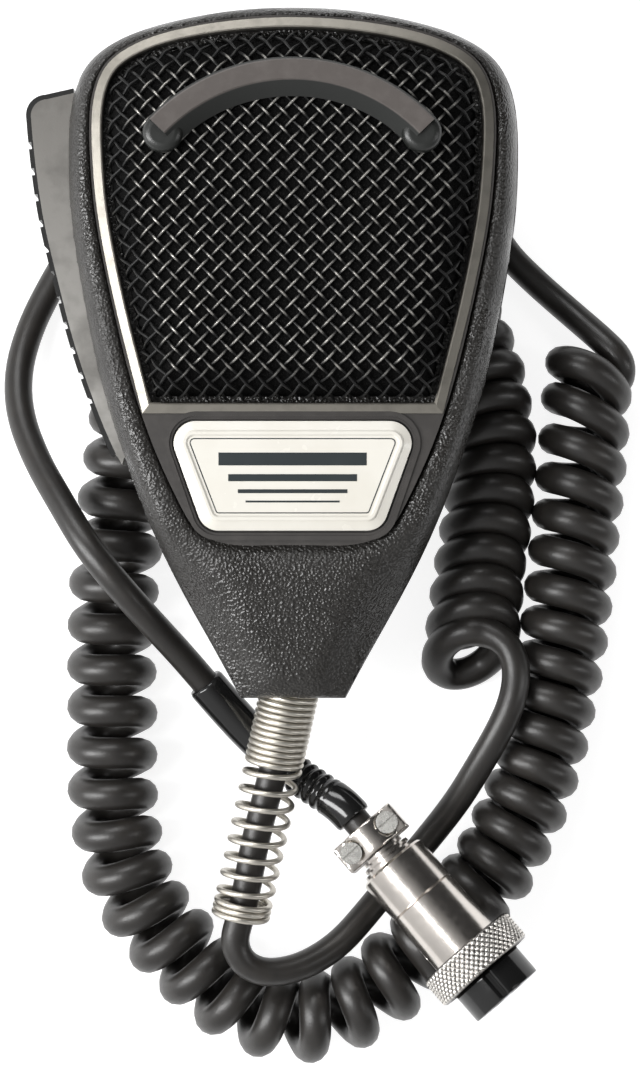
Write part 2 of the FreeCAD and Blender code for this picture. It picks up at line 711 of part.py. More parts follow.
# Return spring between the lever and the post behind it.
return_x0 = -32.0
return_x1 = -23.7
return_y = 18.0
return_z = 22.6
return_wire = 0.6
return_radius = 2.2
return_turns = 5
return_height = return_x1 - return_x0 - return_wire
helix = Part.makeHelix(return_height / return_turns, return_height, return_radius)
ring_profile = Part.Wire([Part.makeCircle(return_wire / 2, V(return_radius, 0, 0), V(0, 1, 0))])
return_solid = Part.Wire(helix.Edges).makePipeShell([ring_profile], True, True)
finish_node(feature("return_spring", return_solid,
                    turned_to(V(1, 0, 0), V(return_x0 + return_wire / 2, return_y, return_z))),
            "lever_return_spring")

# Talk switch, circuit board and wires --------------------------------------------------------

switch_x = -23.2
plunger_y = -12.0
plunger_z = 23.2
tip_gap = 0.15
striker_face = -26.9
plunger_start = V(striker_face + tip_gap, plunger_y, plunger_z)
switch_block = box("switch_block", V(switch_x, -16.5, 19.6), V(switch_x + 8.0, -7.5, 27.0))
plunger_bore = cylinder("plunger_bore", "Sizes.plunger_dia / 2 + 0.05", "5.2",
                        V(switch_x - 0.1, plunger_y, plunger_z), V(1, 0, 0))
finish_node(cut("switch_case", switch_block, [plunger_bore]), "switch_body")
finish_node(cylinder("plunger_rod", "Sizes.plunger_dia / 2", "6.6", plunger_start, V(1, 0, 0)),
            "switch_plunger")

board_level = inner_floor + 2.0
board_y = -46.0
board_blank = doc.addObject("Part::Box", "board_blank")
bind(board_blank, Length="Sizes.board_breadth", Width="Sizes.board_length",
     Height="Sizes.board_thick")
board_blank.Placement = FreeCAD.Placement(V(-13.0, board_y - 2.6, board_level),
                                          FreeCAD.Rotation())
board_notches = [cylinder(f"board_hole_{i}", "1.1", "6", V(x, BOARD_SCREW_Y, board_level - 2))
                 for i, x in enumerate(BOARD_SCREW_X)]
board_notches += [cylinder(f"boss_notch_{i}", "Sizes.boss_dia / 2 + 0.4", "6",
                           V(x, -50.5, board_level - 2)) for i, x in enumerate((-11.0, 11.0))]
finish_node(cut("board_sheet", board_blank, board_notches), "circuit_board")
board_top = board_level + size("board_thick")
board_screws = []
for i, x in enumerate(BOARD_SCREW_X):
    turned = FreeCAD.Rotation(V(1, 0, 0), 180)
    seat = FreeCAD.Placement(V(x, BOARD_SCREW_Y, board_top + 1.2), turned)
    board_screws.append(screw(f"board_screw_{i}", 1.8, 1.0, 1.2, 3.2, seat, 0.5))
finish_node(compound("board_screw_set", board_screws), "board_screws")

COMPONENTS = [
    ("amplifier_chip", -4.0, -37.0, 6.0, 4.0, 1.6), ("capacitor_low", 6.0, -36.0, 4.0, 4.0, 3.2),
    ("resistor_row", -10.0, -32.0, 5.0, 1.8, 1.2), ("trimmer", 4.5, -42.0, 4.5, 4.5, 2.8),
]
parts_on_board = [
    box(name, V(x, y, board_top), V(x + length, y + breadth, board_top + height))
    for name, x, y, length, breadth, height in COMPONENTS
]
finish_node(compound("component_set", parts_on_board), "board_components")


# Where the plug lies: the back of its cord clamp and the direction of its axis.
PLUG_START = V(10.9, -89.3, 20.3)
plug_tilt = math.radians(9.0)
plug_plan = V(0.659, -0.752, 0).normalize()
PLUG_DIR = V(plug_plan.x * math.cos(plug_tilt), plug_plan.y * math.cos(plug_tilt),
             math.sin(plug_tilt))

# Cord routes ---------------------------------------------------------------------------------

def rounded_path(points, report):
    """Straight runs joined by tangent arcs; prints the smallest arc and the run lengths."""
    nodes = [V(*point) for point in points]
    edges = []
    radii = []
    start = nodes[0]
    for i in range(1, len(nodes) - 1):
        back = nodes[i - 1] - nodes[i]
        ahead = nodes[i + 1] - nodes[i]
        shorter = min(back.Length, ahead.Length)
        half_turn = (math.pi - back.getAngle(ahead)) / 2
        radius = 0.45 * shorter / math.tan(half_turn)
        radii.append(radius)
        back.normalize()
        ahead.normalize()
        reach = 0.45 * shorter
        arc_start = nodes[i] + back * reach
        arc_end = nodes[i] + ahead * reach
        bisector = (back + ahead).normalize()
        arc_middle = nodes[i] + bisector * (radius / math.cos(half_turn) - radius)
        edges.append(Part.LineSegment(start, arc_start).toShape())
        edges.append(Part.Arc(arc_start, arc_middle, arc_end).toShape())
        start = arc_end
    edges.append(Part.LineSegment(start, nodes[-1]).toShape())
    wire = Part.Wire(edges)
    shown = ", ".join(f"{radius:.1f}" for radius in radii)
    print(f"{report}: length {wire.Length:.1f}, arc radii {shown or 'none'}")
    return wire


def tube(name, points, diameter):
    """Solid round tube along a route; its volume is compared with section times length."""
    wire = rounded_path(points, name)
    first = V(*points[0])
    direction = (V(*points[1]) - first).normalize()
    circle = Part.Wire([Part.makeCircle(diameter / 2, first, direction)])
    solid = wire.makePipeShell([circle], True, False)
    expected = math.pi * diameter * diameter / 4 * wire.Length
    print(f"{name}: volume ratio {solid.Volume / expected:.4f}")
    if solid.Volume < 0:
        solid.reverse()
    return finish_node(feature(name + "_run", solid), name)


# From the clamp inside the nose, through the spring, over the edge of the lowest coil turns and
# across the floor to the end of the coil beside the handset.
LEAD_MIC = [
    (2.0, -55.5, 25.35), (-0.3, -66.0, 23.9), (-2.8, -78.6, 22.3), (-6.2, -91.6, 20.4),
    (-7.4, -98.9, 19.5), (-8.7, -104.4, 18.6), (-9.6, -107.6, 18.1), (-8.8, -110.5, 17.7),
    (-6.6, -112.5, 17.2), (-3.2, -113.2, 16.6), (1.8, -112.2, 15.4), (7.4, -109.0, 12.8),
    (12.2, -103.9, 9.6), (17.2, -98.0, 7.2), (22.3, -92.0, 6.6), (26.8, -85.9, 9.4),
    (30.0, -80.2, 12.4), (33.2, -74.6, 14.4), (35.3, -69.4, 15.2), (35.2, -64.8, 14.3),
    (32.4, -61.9, 11.9),
]
# Axis of the curly part: beside the handset, under it round the button, down the lever's side,
# round the bottom and up the far side.
COIL = [
    (28.9, -61.5, 7.5), (29.9, -51.0, 7.5), (31.6, -40.2, 7.5), (32.7, -29.5, 7.5),
    (31.6, -19.6, 7.5), (28.8, -10.8, 7.5), (25.0, -3.0, 7.5), (21.5, 5.0, 7.5),
    (17.0, 12.0, 7.5), (10.4, 17.8, 7.5), (1.2, 20.6, 7.5), (-8.6, 18.8, 7.5),
    (-16.0, 13.4, 7.5), (-21.4, 5.2, 7.5), (-24.6, -6.0, 7.5), (-25.6, -17.0, 7.5),
    (-26.9, -28.0, 7.5), (-28.3, -38.0, 7.5), (-29.5, -49.0, 7.5), (-30.0, -61.0, 7.5),
    (-29.8, -73.5, 7.5), (-29.9, -85.5, 7.5), (-28.4, -96.0, 7.5), (-24.0, -104.8, 7.5),
    (-17.9, -111.4, 7.5), (-13.2, -116.0, 7.5), (-7.6, -120.0, 7.5), (-0.9, -122.0, 7.5),
    (5.9, -121.2, 7.5), (11.7, -118.4, 7.5), (17.2, -113.9, 7.5), (24.2, -107.2, 7.5),
    (31.0, -99.8, 7.5), (35.4, -92.2, 7.5), (38.3, -85.3, 7.5), (40.4, -78.9, 7.5),
    (42.6, -69.4, 7.5), (44.4, -58.0, 7.5), (45.7, -46.0, 7.5), (46.8, -35.0, 7.5),
    (47.7, -24.5, 7.5), (48.1, -15.0, 7.5),
]
# From the far end of the coil, under the handset outside the coil, over the coil on the
# lever's side to the shrink sleeve.
LEAD_PLUG = [
    (52.6, -15.1, 7.4), (52.5, -11.9, 6.6), (49.8, -9.0, 4.7), (45.2, -5.4, 3.2),
    (39.8, -0.5, 2.7), (35.0, 4.2, 2.7), (31.9, 9.8, 2.7), (29.0, 15.4, 2.7),
    (24.6, 21.6, 2.7), (17.6, 27.0, 2.7), (8.6, 30.6, 2.7), (-1.4, 31.8, 2.7),
    (-11.2, 30.2, 2.7), (-20.2, 26.0, 2.7), (-27.2, 20.0, 2.7), (-32.4, 12.6, 2.7),
    (-36.6, 5.0, 2.7), (-40.6, -1.8, 2.7), (-43.8, -8.4, 3.2), (-45.6, -15.6, 5.2),
    (-45.0, -22.8, 8.4), (-41.8, -30.4, 12.6), (-37.4, -37.4, 17.6), (-33.0, -44.4, 21.6),
    (-27.6, -51.0, 22.0), (-22.6, -56.8, 19.0), (-18.2, -61.8, 16.0), (-14.4, -66.4, 13.8),
]
# The shrink sleeve passes under the nose and the spring and ends a little short of the plug;
# the bare cord goes on from it into the plug's clamp.
SLEEVE_GAP = 1.8
CLAMP_HOLD = 2.7
SLEEVE_END = PLUG_START - PLUG_DIR * SLEEVE_GAP
SLEEVE = [
    (-14.4, -66.4, 13.8), (-10.4, -71.2, 12.6), (-5.4, -76.4, 12.2), (0.2, -81.2, 13.9),
    (4.6, -83.9, 17.6), tuple(SLEEVE_END - PLUG_DIR * 2.8), tuple(SLEEVE_END),
]
CORD_END = [tuple(SLEEVE_END), tuple(PLUG_START + PLUG_DIR * CLAMP_HOLD)]
tube("cord_lead_mic", LEAD_MIC, size("cord_dia"))
tube("cord_coil", COIL, size("coil_dia"))
tube("cord_lead_plug", LEAD_PLUG, size("cord_dia"))
tube("cord_sleeve", SLEEVE, size("sleeve_dia"))
tube("cord_end", CORD_END, size("cord_dia"))

# Cable entry ---------------------------------------------------------------------------------

relief_place = turned_to(RELIEF_DIR, RELIEF_START)
cord_r = size("cord_dia") / 2
finish_node(revolved("bushing_turned", [
    (cord_r + 0.3, -2.6), (4.9, -2.6), (4.9, -1.2), (3.7, -1.2), (3.7, 6.0), (cord_r + 0.3, 6.0),
], relief_place), "cable_bushing")

spring_r = size("spring_dia") / 2
wire_d = size("spring_wire")
open_start = size("spring_close_top")
open_end = size("spring_length") - size("spring_close_end")
mean_r = spring_r - wire_d / 2
COLLAR_ROOM = 0.06


def wound_collar(low, high):
    """Close-wound turns, as one tube a little thicker than the wire."""
    outside = Part.makeCylinder(spring_r + COLLAR_ROOM, high - low, V(0, 0, low))
    inside = Part.makeCylinder(spring_r - wire_d - COLLAR_ROOM, high - low, V(0, 0, low))
    return outside.cut(inside)


bite = wire_d * 0.7
open_length = open_end - open_start + 2 * bite
open_helix = Part.makeHelix(open_length / size("spring_turns"), open_length, mean_r)
wire_circle = Part.Wire([Part.makeCircle(wire_d / 2, V(mean_r, 0, 0), V(0, 1, 0))])
open_coil = Part.Wire(open_helix.Edges).makePipeShell([wire_circle], True, True)
open_coil.translate(V(0, 0, open_start - bite))
open_coil.rotate(V(0, 0, 0), V(0, 0, 1), 90)
spring_shape = wound_collar(0.6, open_start).fuse(
    [open_coil, wound_collar(open_end, size("spring_length"))])
finish_node(feature("strain_spring_wound", spring_shape, relief_place), "strain_spring")

CLAMP_SCREWS = (-3.9, 6.6)
clamp_block = box("clamp_block", V(-5.6, -59.0, inner_floor + 0.3), V(8.0, -55.8, 28.2))
clamp_bore = cylinder("clamp_bore", "Sizes.cord_dia / 2 + 0.05", "20",
                      RELIEF_START - RELIEF_DIR * 16, RELIEF_DIR)
clamp_ways = [cylinder(f"clamp_way_{i}", "0.9", "20", V(x, -57.4, 15))
              for i, x in enumerate(CLAMP_SCREWS)]
finish_node(cut("clamp_cut", clamp_block, [clamp_bore] + clamp_ways), "cable_clamp")
clamp_screws = [
    screw(f"clamp_screw_{i}", 1.7, 0.9, 1.2, 9.0,
          FreeCAD.Placement(V(x, -57.4, 29.4), FreeCAD.Rotation(V(1, 0, 0), 180)), 0.5)
    for i, x in enumerate(CLAMP_SCREWS)
]
finish_node(compound("clamp_screw_set", clamp_screws), "clamp_screws")


def wire_run(points, diameter=1.0):
    path = Part.BSplineCurve()
    path.interpolate(Points=[V(*point) for point in points])
    wire = Part.Wire([path.toShape()])
    start_direction = V(*path.tangent(path.FirstParameter)[0])
    circle = Part.Wire([Part.makeCircle(diameter / 2, V(*points[0]), start_direction)])
    return wire.makePipeShell([circle], True, True)


WIRE_FAN = [-3.6, -1.2, 1.2, 3.6]
inner_wires = [
    wire_run([(2.05 + 0.45 * x, -55.1, 25.3), (2.0 + 0.6 * x, -53.0, 25.0), (1.3 * x, -50.2, 23.6),
              (1.4 * x, -48.0, board_top + 0.6)])
    for x in WIRE_FAN
]
finish_node(compound("wire_set", [feature(f"inner_wire_{i}", solid)
                                  for i, solid in enumerate(inner_wires)]), "inner_wires")

# Plug ----------------------------------------------------------------------------------------

# The plug's own X axis stays level, across the two screws of its clamp.
plug_side = PLUG_DIR.cross(V(0, 0, 1)).normalize()
plug_up = plug_side.cross(PLUG_DIR)
plug_place = FreeCAD.Placement(PLUG_START, FreeCAD.Rotation(plug_side, plug_up * -1, PLUG_DIR,
                                                          "ZXY"))
body_r = size("plug_body_dia") / 2
wall_t = size("plug_wall")
clamp_l = size("plug_clamp_length")
body_end = clamp_l + size("plug_body_length")
ring_end = body_end + size("plug_ring_length")
insert_end = ring_end + size("plug_insert_reach")
insert_r = size("plug_insert_dia") / 2
ring_r = size("plug_ring_dia") / 2
seam = clamp_l + 7.5

# Behind the body a collar of three ribs, each wider than the one before.
COLLAR_RIBS = [(2.4, 2.1), (1.5, 1.5), (0.6, 0.9)]
RIB_WIDE = 0.5
GROOVE_DEEP = 0.5
collar_bore = cord_r + 0.3
collar = [(collar_bore, clamp_l - COLLAR_RIBS[0][0])]
for back, inset in COLLAR_RIBS:
    collar += [(body_r - inset, clamp_l - back), (body_r - inset, clamp_l - back + RIB_WIDE),
               (body_r - inset - GROOVE_DEEP, clamp_l - back + RIB_WIDE),
               (body_r - inset - GROOVE_DEEP, clamp_l - back + RIB_WIDE + 0.4)]
collar.pop()
plug_tube = revolved("plug_shell_turned", collar + [
    (body_r - COLLAR_RIBS[-1][1] - GROOVE_DEEP, clamp_l), (body_r - 0.4, clamp_l),
    (body_r, clamp_l + 0.4), (body_r, seam - 0.2), (body_r - 0.25, seam),
    (body_r, seam + 0.2), (body_r, body_end), (body_r - wall_t, body_end),
    (body_r - wall_t, clamp_l + 2.0), (collar_bore, clamp_l + 2.0),
], plug_place)
retainer_way = cylinder("retainer_way", "0.9", "8", PLUG_START + PLUG_DIR * (body_end - 2.5),
                        plug_side)
finish_node(cut("plug_shell_drilled", plug_tube, [retainer_way]), "plug_shell")


def plug_part(name, shape):
    return feature(name, shape, plug_place)


half_w = size("plug_clamp_width") / 2
cheek_length = clamp_l - 2.6
CHEEK_GAP = 0.15
LUG_THICK = 2.6
CROWN_R = 4.6
PLUG_SCREWS = (-3.75, 3.75)
clamp_core_r = size("clamp_screw_dia") / 2
clamp_head_r = size("clamp_head_dia") / 2
HEAD_SEAT = 3.1


def clamp_half(side):
    """One cheek of the cord clamp: a curved saddle with a lug at each end."""
    low = CHEEK_GAP if side > 0 else -CHEEK_GAP - LUG_THICK
    block = Part.makeBox(2 * half_w, LUG_THICK, cheek_length, V(-half_w, low, 0))
    hollow = Part.makeCylinder(cord_r + 0.06, 40, V(0, 0, -10))
    crown = Part.makeCylinder(CROWN_R, cheek_length)
    keep = Part.makeBox(20, 10, 40, V(-10, CHEEK_GAP if side > 0 else -CHEEK_GAP - 10, -10))
    cheek = block.fuse(crown.common(keep)).cut(hollow)
    middle = cheek_length / 2
    ways = [Part.makeCylinder(clamp_core_r + 0.05, 20, V(x, -10, middle), V(0, 1, 0))
            for x in PLUG_SCREWS]
    seats = [Part.makeCylinder(clamp_head_r + 0.1, 10 - HEAD_SEAT, V(x, -10, middle), V(0, 1, 0))
             for x in PLUG_SCREWS]
    return cheek.cut(ways + seats).removeSplitter()


finish_node(plug_part("upper_cheek", clamp_half(-1)), "plug_clamp_upper")
finish_node(plug_part("lower_cheek", clamp_half(1)), "plug_clamp_lower")


def plug_screw(x):
    middle = cheek_length / 2
    head = Part.makeCylinder(clamp_head_r, 1.3, V(x, -HEAD_SEAT - 1.3, middle), V(0, 1, 0))
    core = Part.makeCylinder(clamp_core_r, 5.6, V(x, -HEAD_SEAT, middle), V(0, 1, 0))
    slot = Part.makeBox(2 * clamp_head_r + 1, 0.6, 0.55,
                        V(x - clamp_head_r - 0.5, -HEAD_SEAT - 1.4, middle - 0.27))
    return head.fuse(core).cut(slot)


finish_node(compound("plug_screw_set", [plug_part(f"plug_screw_{i}", plug_screw(x))
                                        for i, x in enumerate(PLUG_SCREWS)]),
            "plug_clamp_screws")
finish_node(revolved("plug_ring_turned", [
    (body_r + 0.25, body_end - 0.1), (ring_r - 0.4, body_end - 0.1), (ring_r, body_end + 0.3),
    (ring_r, ring_end - 0.5), (ring_r - 0.4, ring_end - 0.1), (insert_r + 1.3, ring_end - 0.1),
    (insert_r + 1.3, body_end + 1.3), (body_r + 0.25, body_end + 1.3),
], plug_place), "plug_ring")
insert_core = Part.makeCylinder(insert_r, insert_end - body_end - 1.6, V(0, 0, body_end + 1.6))
insert_tail = Part.makeCylinder(body_r - wall_t, 6.6, V(0, 0, body_end - 5.0))
retainer_seat = Part.makeCylinder(0.9, 8, V(body_r - 2.0, 0, body_end - 2.5), V(1, 0, 0))
keyway = Part.makeBox(1.8, 1.4, 30, V(-0.9, -insert_r - 0.2, body_end + 3.0))


def contact_spot(number, along):
    angle = math.radians(45 + 90 * number)
    circle_r = size("contact_pitch") / 2
    return V(circle_r * math.cos(angle), circle_r * math.sin(angle), along)


contact_r = size("contact_dia") / 2
contact_start = body_end - 2.6
contact_ways = [Part.makeCylinder(contact_r, 20, contact_spot(i, contact_start))
                for i in range(4)]
contact_ways += [Part.makeCylinder(0.8, 8, contact_spot(i, contact_start - 7))
                 for i in range(4)]
finish_node(plug_part("insert_moulding",
                      insert_core.fuse(insert_tail).cut([keyway, retainer_seat] + contact_ways)),
            "plug_insert")


def contact(number):
    """Socket contact: a brass tube with a solder cup at the back."""
    length = insert_end - contact_start - 0.6
    tube_body = Part.makeCylinder(contact_r, length, contact_spot(number, contact_start))
    bore = Part.makeCylinder(contact_r - 0.5, 30, contact_spot(number, contact_start + 3.0))
    cup = Part.makeCylinder(0.8, 4.2, contact_spot(number, contact_start - 4.1))
    return tube_body.fuse(cup).cut(bore)


finish_node(compound("contact_set", [plug_part(f"contact_{i}", contact(i)) for i in range(4)]),
            "plug_contacts")
retainer = Part.makeCylinder(0.9, 2.0, V(body_r - 2.0, 0, body_end - 2.5), V(1, 0, 0))
finish_node(plug_part("retainer_screw", retainer), "plug_retainer_screw")

# Check and write -----------------------------------------------------------------------------

doc.recompute()
problems = []
for obj in doc.Objects:
    if "Invalid" in obj.State or "Error" in obj.State:
        problems.append(f"{obj.Name}: {obj.State}")
for label, obj in NODES.items():
    shape = obj.Shape
    if shape.isNull() or not shape.isValid() or not shape.Solids:
        problems.append(f"{label}: bad shape")
        continue
    print(f"{label}: {len(shape.Solids)} solid(s), {shape.Volume:.1f} mm3")
if problems:
    raise SystemExit("failed: " + "; ".join(problems))
os.makedirs("parts", exist_ok=True)
for label, obj in NODES.items():
    obj.Shape.exportStep(os.path.join("parts", label + ".step"))
print(f"{len(NODES)} nodes written")
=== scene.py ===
import json
import math
import random

import bmesh
import bpy
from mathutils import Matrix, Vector
from mathutils.bvhtree import BVHTree


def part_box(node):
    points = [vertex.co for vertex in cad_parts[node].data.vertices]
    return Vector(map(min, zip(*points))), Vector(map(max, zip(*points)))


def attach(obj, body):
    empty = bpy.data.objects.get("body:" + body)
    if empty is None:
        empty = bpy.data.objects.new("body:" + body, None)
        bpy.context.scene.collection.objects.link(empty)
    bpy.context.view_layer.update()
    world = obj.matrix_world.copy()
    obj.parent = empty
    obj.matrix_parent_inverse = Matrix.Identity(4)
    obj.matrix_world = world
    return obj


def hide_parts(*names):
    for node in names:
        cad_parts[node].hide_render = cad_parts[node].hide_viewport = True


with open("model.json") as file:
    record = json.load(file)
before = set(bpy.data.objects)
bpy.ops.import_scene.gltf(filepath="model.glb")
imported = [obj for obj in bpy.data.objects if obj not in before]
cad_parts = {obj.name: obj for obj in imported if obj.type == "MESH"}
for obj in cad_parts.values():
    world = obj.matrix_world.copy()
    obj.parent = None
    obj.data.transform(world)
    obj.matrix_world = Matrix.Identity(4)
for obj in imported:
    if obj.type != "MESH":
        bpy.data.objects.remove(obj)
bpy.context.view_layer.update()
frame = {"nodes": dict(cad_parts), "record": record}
nodes = frame["nodes"]
scene = bpy.context.scene
random.seed(7)
MM = 0.001

# Camera, straight above the handset ------------------------------------------------------------

LENS_MM = 110.8
CAMERA_PLACE = (0.00425, -0.0428, 0.550)

camera_data = bpy.data.cameras.new("camera")
camera_data.sensor_fit = "VERTICAL"
camera_data.sensor_height = 36.0
camera_data.lens = LENS_MM
camera = bpy.data.objects.new("camera", camera_data)
camera.location = CAMERA_PLACE
scene.collection.objects.link(camera)
scene.camera = camera

# Materials -------------------------------------------------------------------------------------

NOISE_ROUGHNESS = 0.55
METAL_WEAR = 0.28
BROW_SHADOW_Z = (0.04590, 0.04605)
# Span along the lever over which its painted light fades, from the lower end up.
LEVER_PAINTED_LIGHT_Y = (-0.026, 0.022)


class Shader:
    """A node material built up from small steps."""

    def __init__(self, name, color, roughness, metallic=0.0):
        self.material = bpy.data.materials.new(name)
        self.material.use_nodes = True
        self.tree = self.material.node_tree
        self.out = self.tree.nodes["Principled BSDF"]
        self.set("Base Color", (*color, 1.0))
        self.set("Roughness", roughness)
        self.set("Metallic", metallic)
        self.place = self.node("ShaderNodeTexCoord").outputs["Object"]

    def set(self, socket, value):
        """Uniform value of one of the shader's own sockets."""
        self.out.inputs[socket].default_value = value

    def node(self, kind, **settings):
        """New node with its properties set."""
        item = self.tree.nodes.new(kind)
        for key, value in settings.items():
            setattr(item, key, value)
        return item

    def link(self, source, target):
        self.tree.links.new(source, target)

    def noise(self, scale, detail):
        """Cloudy noise from about 0.3 to 0.7."""
        item = self.node("ShaderNodeTexNoise")
        item.inputs["Scale"].default_value = scale
        item.inputs["Detail"].default_value = detail
        item.inputs["Roughness"].default_value = NOISE_ROUGHNESS
        self.link(self.place, item.inputs["Vector"])
        return item.outputs["Fac"]

    def cells(self, scale, feature="F1"):
        """Distance to the nearest point of a scattered grid."""
        item = self.node("ShaderNodeTexVoronoi", feature=feature)
        item.inputs["Scale"].default_value = scale
        self.link(self.place, item.inputs["Vector"])
        return item.outputs["Distance"]

    def ramp(self, value, low, high, out_low=0.0, out_high=1.0):
        """Value moved from one range to another, held at the ends."""
        item = self.node("ShaderNodeMapRange")
        self.link(value, item.inputs["Value"])
        for socket, number in (("From Min", low), ("From Max", high),
                               ("To Min", out_low), ("To Max", out_high)):
            item.inputs[socket].default_value = number
        return item.outputs["Result"]

    def product(self, first, second):
        """The two values multiplied."""
        item = self.node("ShaderNodeMath", operation="MULTIPLY")
        self.link(first, item.inputs[0])
        self.link(second, item.inputs[1])
        return item.outputs[0]

    def attribute(self, name):
        """A value that the mesh stores at its points."""
        return self.node("ShaderNodeAttribute", attribute_name=name).outputs["Fac"]

    def axis(self, index):
        """One coordinate of the surface, in metres."""
        item = self.node("ShaderNodeSeparateXYZ")
        self.link(self.place, item.inputs["Vector"])
        return item.outputs[index]

    def tint(self, factor, color):
        """Mix another colour into the base colour by a factor."""
        item = self.node("ShaderNodeMix", data_type="RGBA")
        self.link(factor, item.inputs["Factor"])
        base = self.out.inputs["Base Color"]
        if base.links:
            self.link(base.links[0].from_socket, item.inputs["A"])
        else:
            item.inputs["A"].default_value = base.default_value
        item.inputs["B"].default_value = (*color, 1.0)
        self.link(item.outputs["Result"], base)

    def gloss(self, factor, low, high):
        """Roughness that runs from low to high with a factor."""
        self.link(self.ramp(factor, 0.0, 1.0, low, high), self.out.inputs["Roughness"])

    def bump(self, height, distance, strength):
        """Fine relief, added to any that the shader has."""
        item = self.node("ShaderNodeBump")
        item.inputs["Distance"].default_value = distance
        item.inputs["Strength"].default_value = strength
        self.link(height, item.inputs["Height"])
        normal = self.out.inputs["Normal"]
        if normal.links:
            self.link(normal.links[0].from_socket, item.inputs["Normal"])
        self.link(item.outputs["Normal"], normal)


def jacket_material():
    """Soft black jacket of the cord, slightly dusty."""
    shader = Shader("cord_jacket", (0.015, 0.0135, 0.0122), 0.44)
    cloud = shader.noise(260.0, 4.0)
    shader.tint(shader.ramp(cloud, 0.45, 0.75, 0.0, 0.5), (0.027, 0.0235, 0.020))
    shader.gloss(shader.noise(700.0, 2.0), 0.31, 0.46)
    shader.bump(shader.noise(2600.0, 2.0), 0.00003, 0.6)
    return shader.material


def metal_material(name, color, roughness, streak=900.0):
    """Plated or bare metal with faint clouds and hairline streaks."""
    shader = Shader(name, color, roughness, 1.0)
    cloud = shader.noise(180.0, 4.0)
    shader.tint(shader.ramp(cloud, 0.45, 0.8, 0.0, 0.5),
                tuple((1 - METAL_WEAR) * channel for channel in color))
    shader.gloss(shader.noise(streak, 3.0), roughness * 0.7, roughness * 1.4)
    shader.bump(shader.noise(streak * 2, 2.0), 0.000015, 0.5)
    return shader.material


def plastic_material(name, color, roughness, grain=0.0, scale=2000.0):
    """Moulded plastic or rubber with a light grain."""
    shader = Shader(name, color, roughness)
    cloud = shader.noise(120.0, 3.0)
    shader.tint(shader.ramp(cloud, 0.4, 0.8, 0.0, 0.4),
                tuple(min(1.0, 1.35 * channel) for channel in color))
    shader.gloss(shader.noise(500.0, 2.0), roughness * 0.85, roughness * 1.15)
    if grain:
        shader.bump(shader.noise(scale, 3.0), grain, 0.8)
    return shader.material


def leather_material():
    """Black moulded case with a pebbled leather grain."""
    shader = Shader("case_plastic", (0.0135, 0.0125, 0.0112), 0.36)
    pebbles = shader.cells(2500.0, "SMOOTH_F1")
    fine = shader.noise(3800.0, 2.0)
    patches = shader.ramp(shader.noise(75.0, 2.0), 0.40, 0.62)
    shader.tint(shader.ramp(pebbles, 0.1, 0.6, 0.55, 0.0), (0.028, 0.0255, 0.023))
    shader.gloss(patches, 0.24, 0.46)
    shader.bump(pebbles, 0.00022, 1.0)
    shader.bump(fine, 0.00003, 0.5)
    return shader.material


def bezel_material():
    """Dark satin plate, faintly clouded."""
    shader = Shader("bezel_plate", (0.040, 0.037, 0.035), 0.34)
    cloud = shader.noise(300.0, 4.0)
    shader.tint(shader.ramp(cloud, 0.45, 0.75, 0.0, 0.5), (0.062, 0.057, 0.053))
    shader.gloss(shader.noise(1200.0, 3.0), 0.26, 0.42)
    shader.bump(shader.noise(2400.0, 2.0), 0.00002, 0.5)
    return shader.material


def trim_material():
    """Bare metal edge round the window, clouded by wear."""
    shader = Shader("bezel_trim", (0.27, 0.255, 0.225), 0.40, 1.0)
    cloud = shader.noise(300.0, 4.0)
    shader.tint(shader.ramp(cloud, 0.5, 0.75, 0.0, 0.5), (0.12, 0.113, 0.10))
    shader.gloss(shader.noise(1200.0, 3.0), 0.32, 0.48)
    shader.bump(shader.noise(2400.0, 2.0), 0.00002, 0.5)
    return shader.material


def badge_material():
    """Glossy ivory plate with faint age clouds."""
    shader = Shader("badge_face", (0.66, 0.64, 0.585), 0.26)
    cloud = shader.noise(90.0, 4.0)
    shader.tint(shader.ramp(cloud, 0.45, 0.8, 0.0, 0.5), (0.56, 0.53, 0.46))
    shader.gloss(shader.noise(400.0, 2.0), 0.18, 0.32)
    shader.bump(shader.noise(900.0, 2.0), 0.00001, 0.5)
    return shader.material


def brow_material():
    """Satin dark enamel on the broad slope, with painted shade that turns it black below it."""
    shader = Shader("brow_enamel", (0.080, 0.070, 0.065), 0.38)
    cloud = shader.noise(420.0, 4.0)
    shader.tint(shader.ramp(cloud, 0.45, 0.8, 0.0, 0.4), (0.125, 0.112, 0.105))
    # Painted shade: black below this height.
    shader.tint(shader.ramp(shader.axis("Z"), *BROW_SHADOW_Z, 1.0, 0.0), (0.012, 0.013, 0.012))
    shader.gloss(shader.noise(900.0, 2.0), 0.28, 0.44)
    shader.bump(shader.noise(2200.0, 2.0), 0.00002, 0.6)
    return shader.material


def mesh_wire_material():
    """Black-lacquered wire with a painted highlight of bare bright metal where the weave stands
    highest.
    """
    shader = Shader("grille_wire", (0.008, 0.008, 0.008), 0.42)
    shader.set("Specular IOR Level", 0.22)
    bright = shader.attribute("painted_glint")
    speckle = shader.ramp(shader.noise(5200.0, 2.0), 0.32, 0.60, 0.30, 1.0)
    patchy = shader.ramp(shader.noise(700.0, 3.0), 0.36, 0.62, 0.45, 1.0)
    # Painted highlight: bare bright metal where the glint mask is set, broken up at random.
    glint_mask = shader.product(bright, shader.product(speckle, patchy))
    shader.tint(glint_mask, (0.58, 0.56, 0.52))
    shader.link(glint_mask, shader.out.inputs["Metallic"])
    shader.gloss(bright, 0.42, 0.28)
    return shader.material


def cloth_material():
    """Fine black windscreen cloth seen through the grille, its base made darker still as painted
    shade under the wires.
    """
    shader = Shader("windscreen_cloth", (0.003, 0.003, 0.003), 0.9)
    shader.set("Specular IOR Level", 0.08)
    threads = shader.cells(2300.0)
    shader.tint(shader.ramp(threads, 0.0, 0.32, 0.45, 0.0), (0.026, 0.024, 0.023))
    shader.bump(threads, 0.0002, 0.8)
    return shader.material


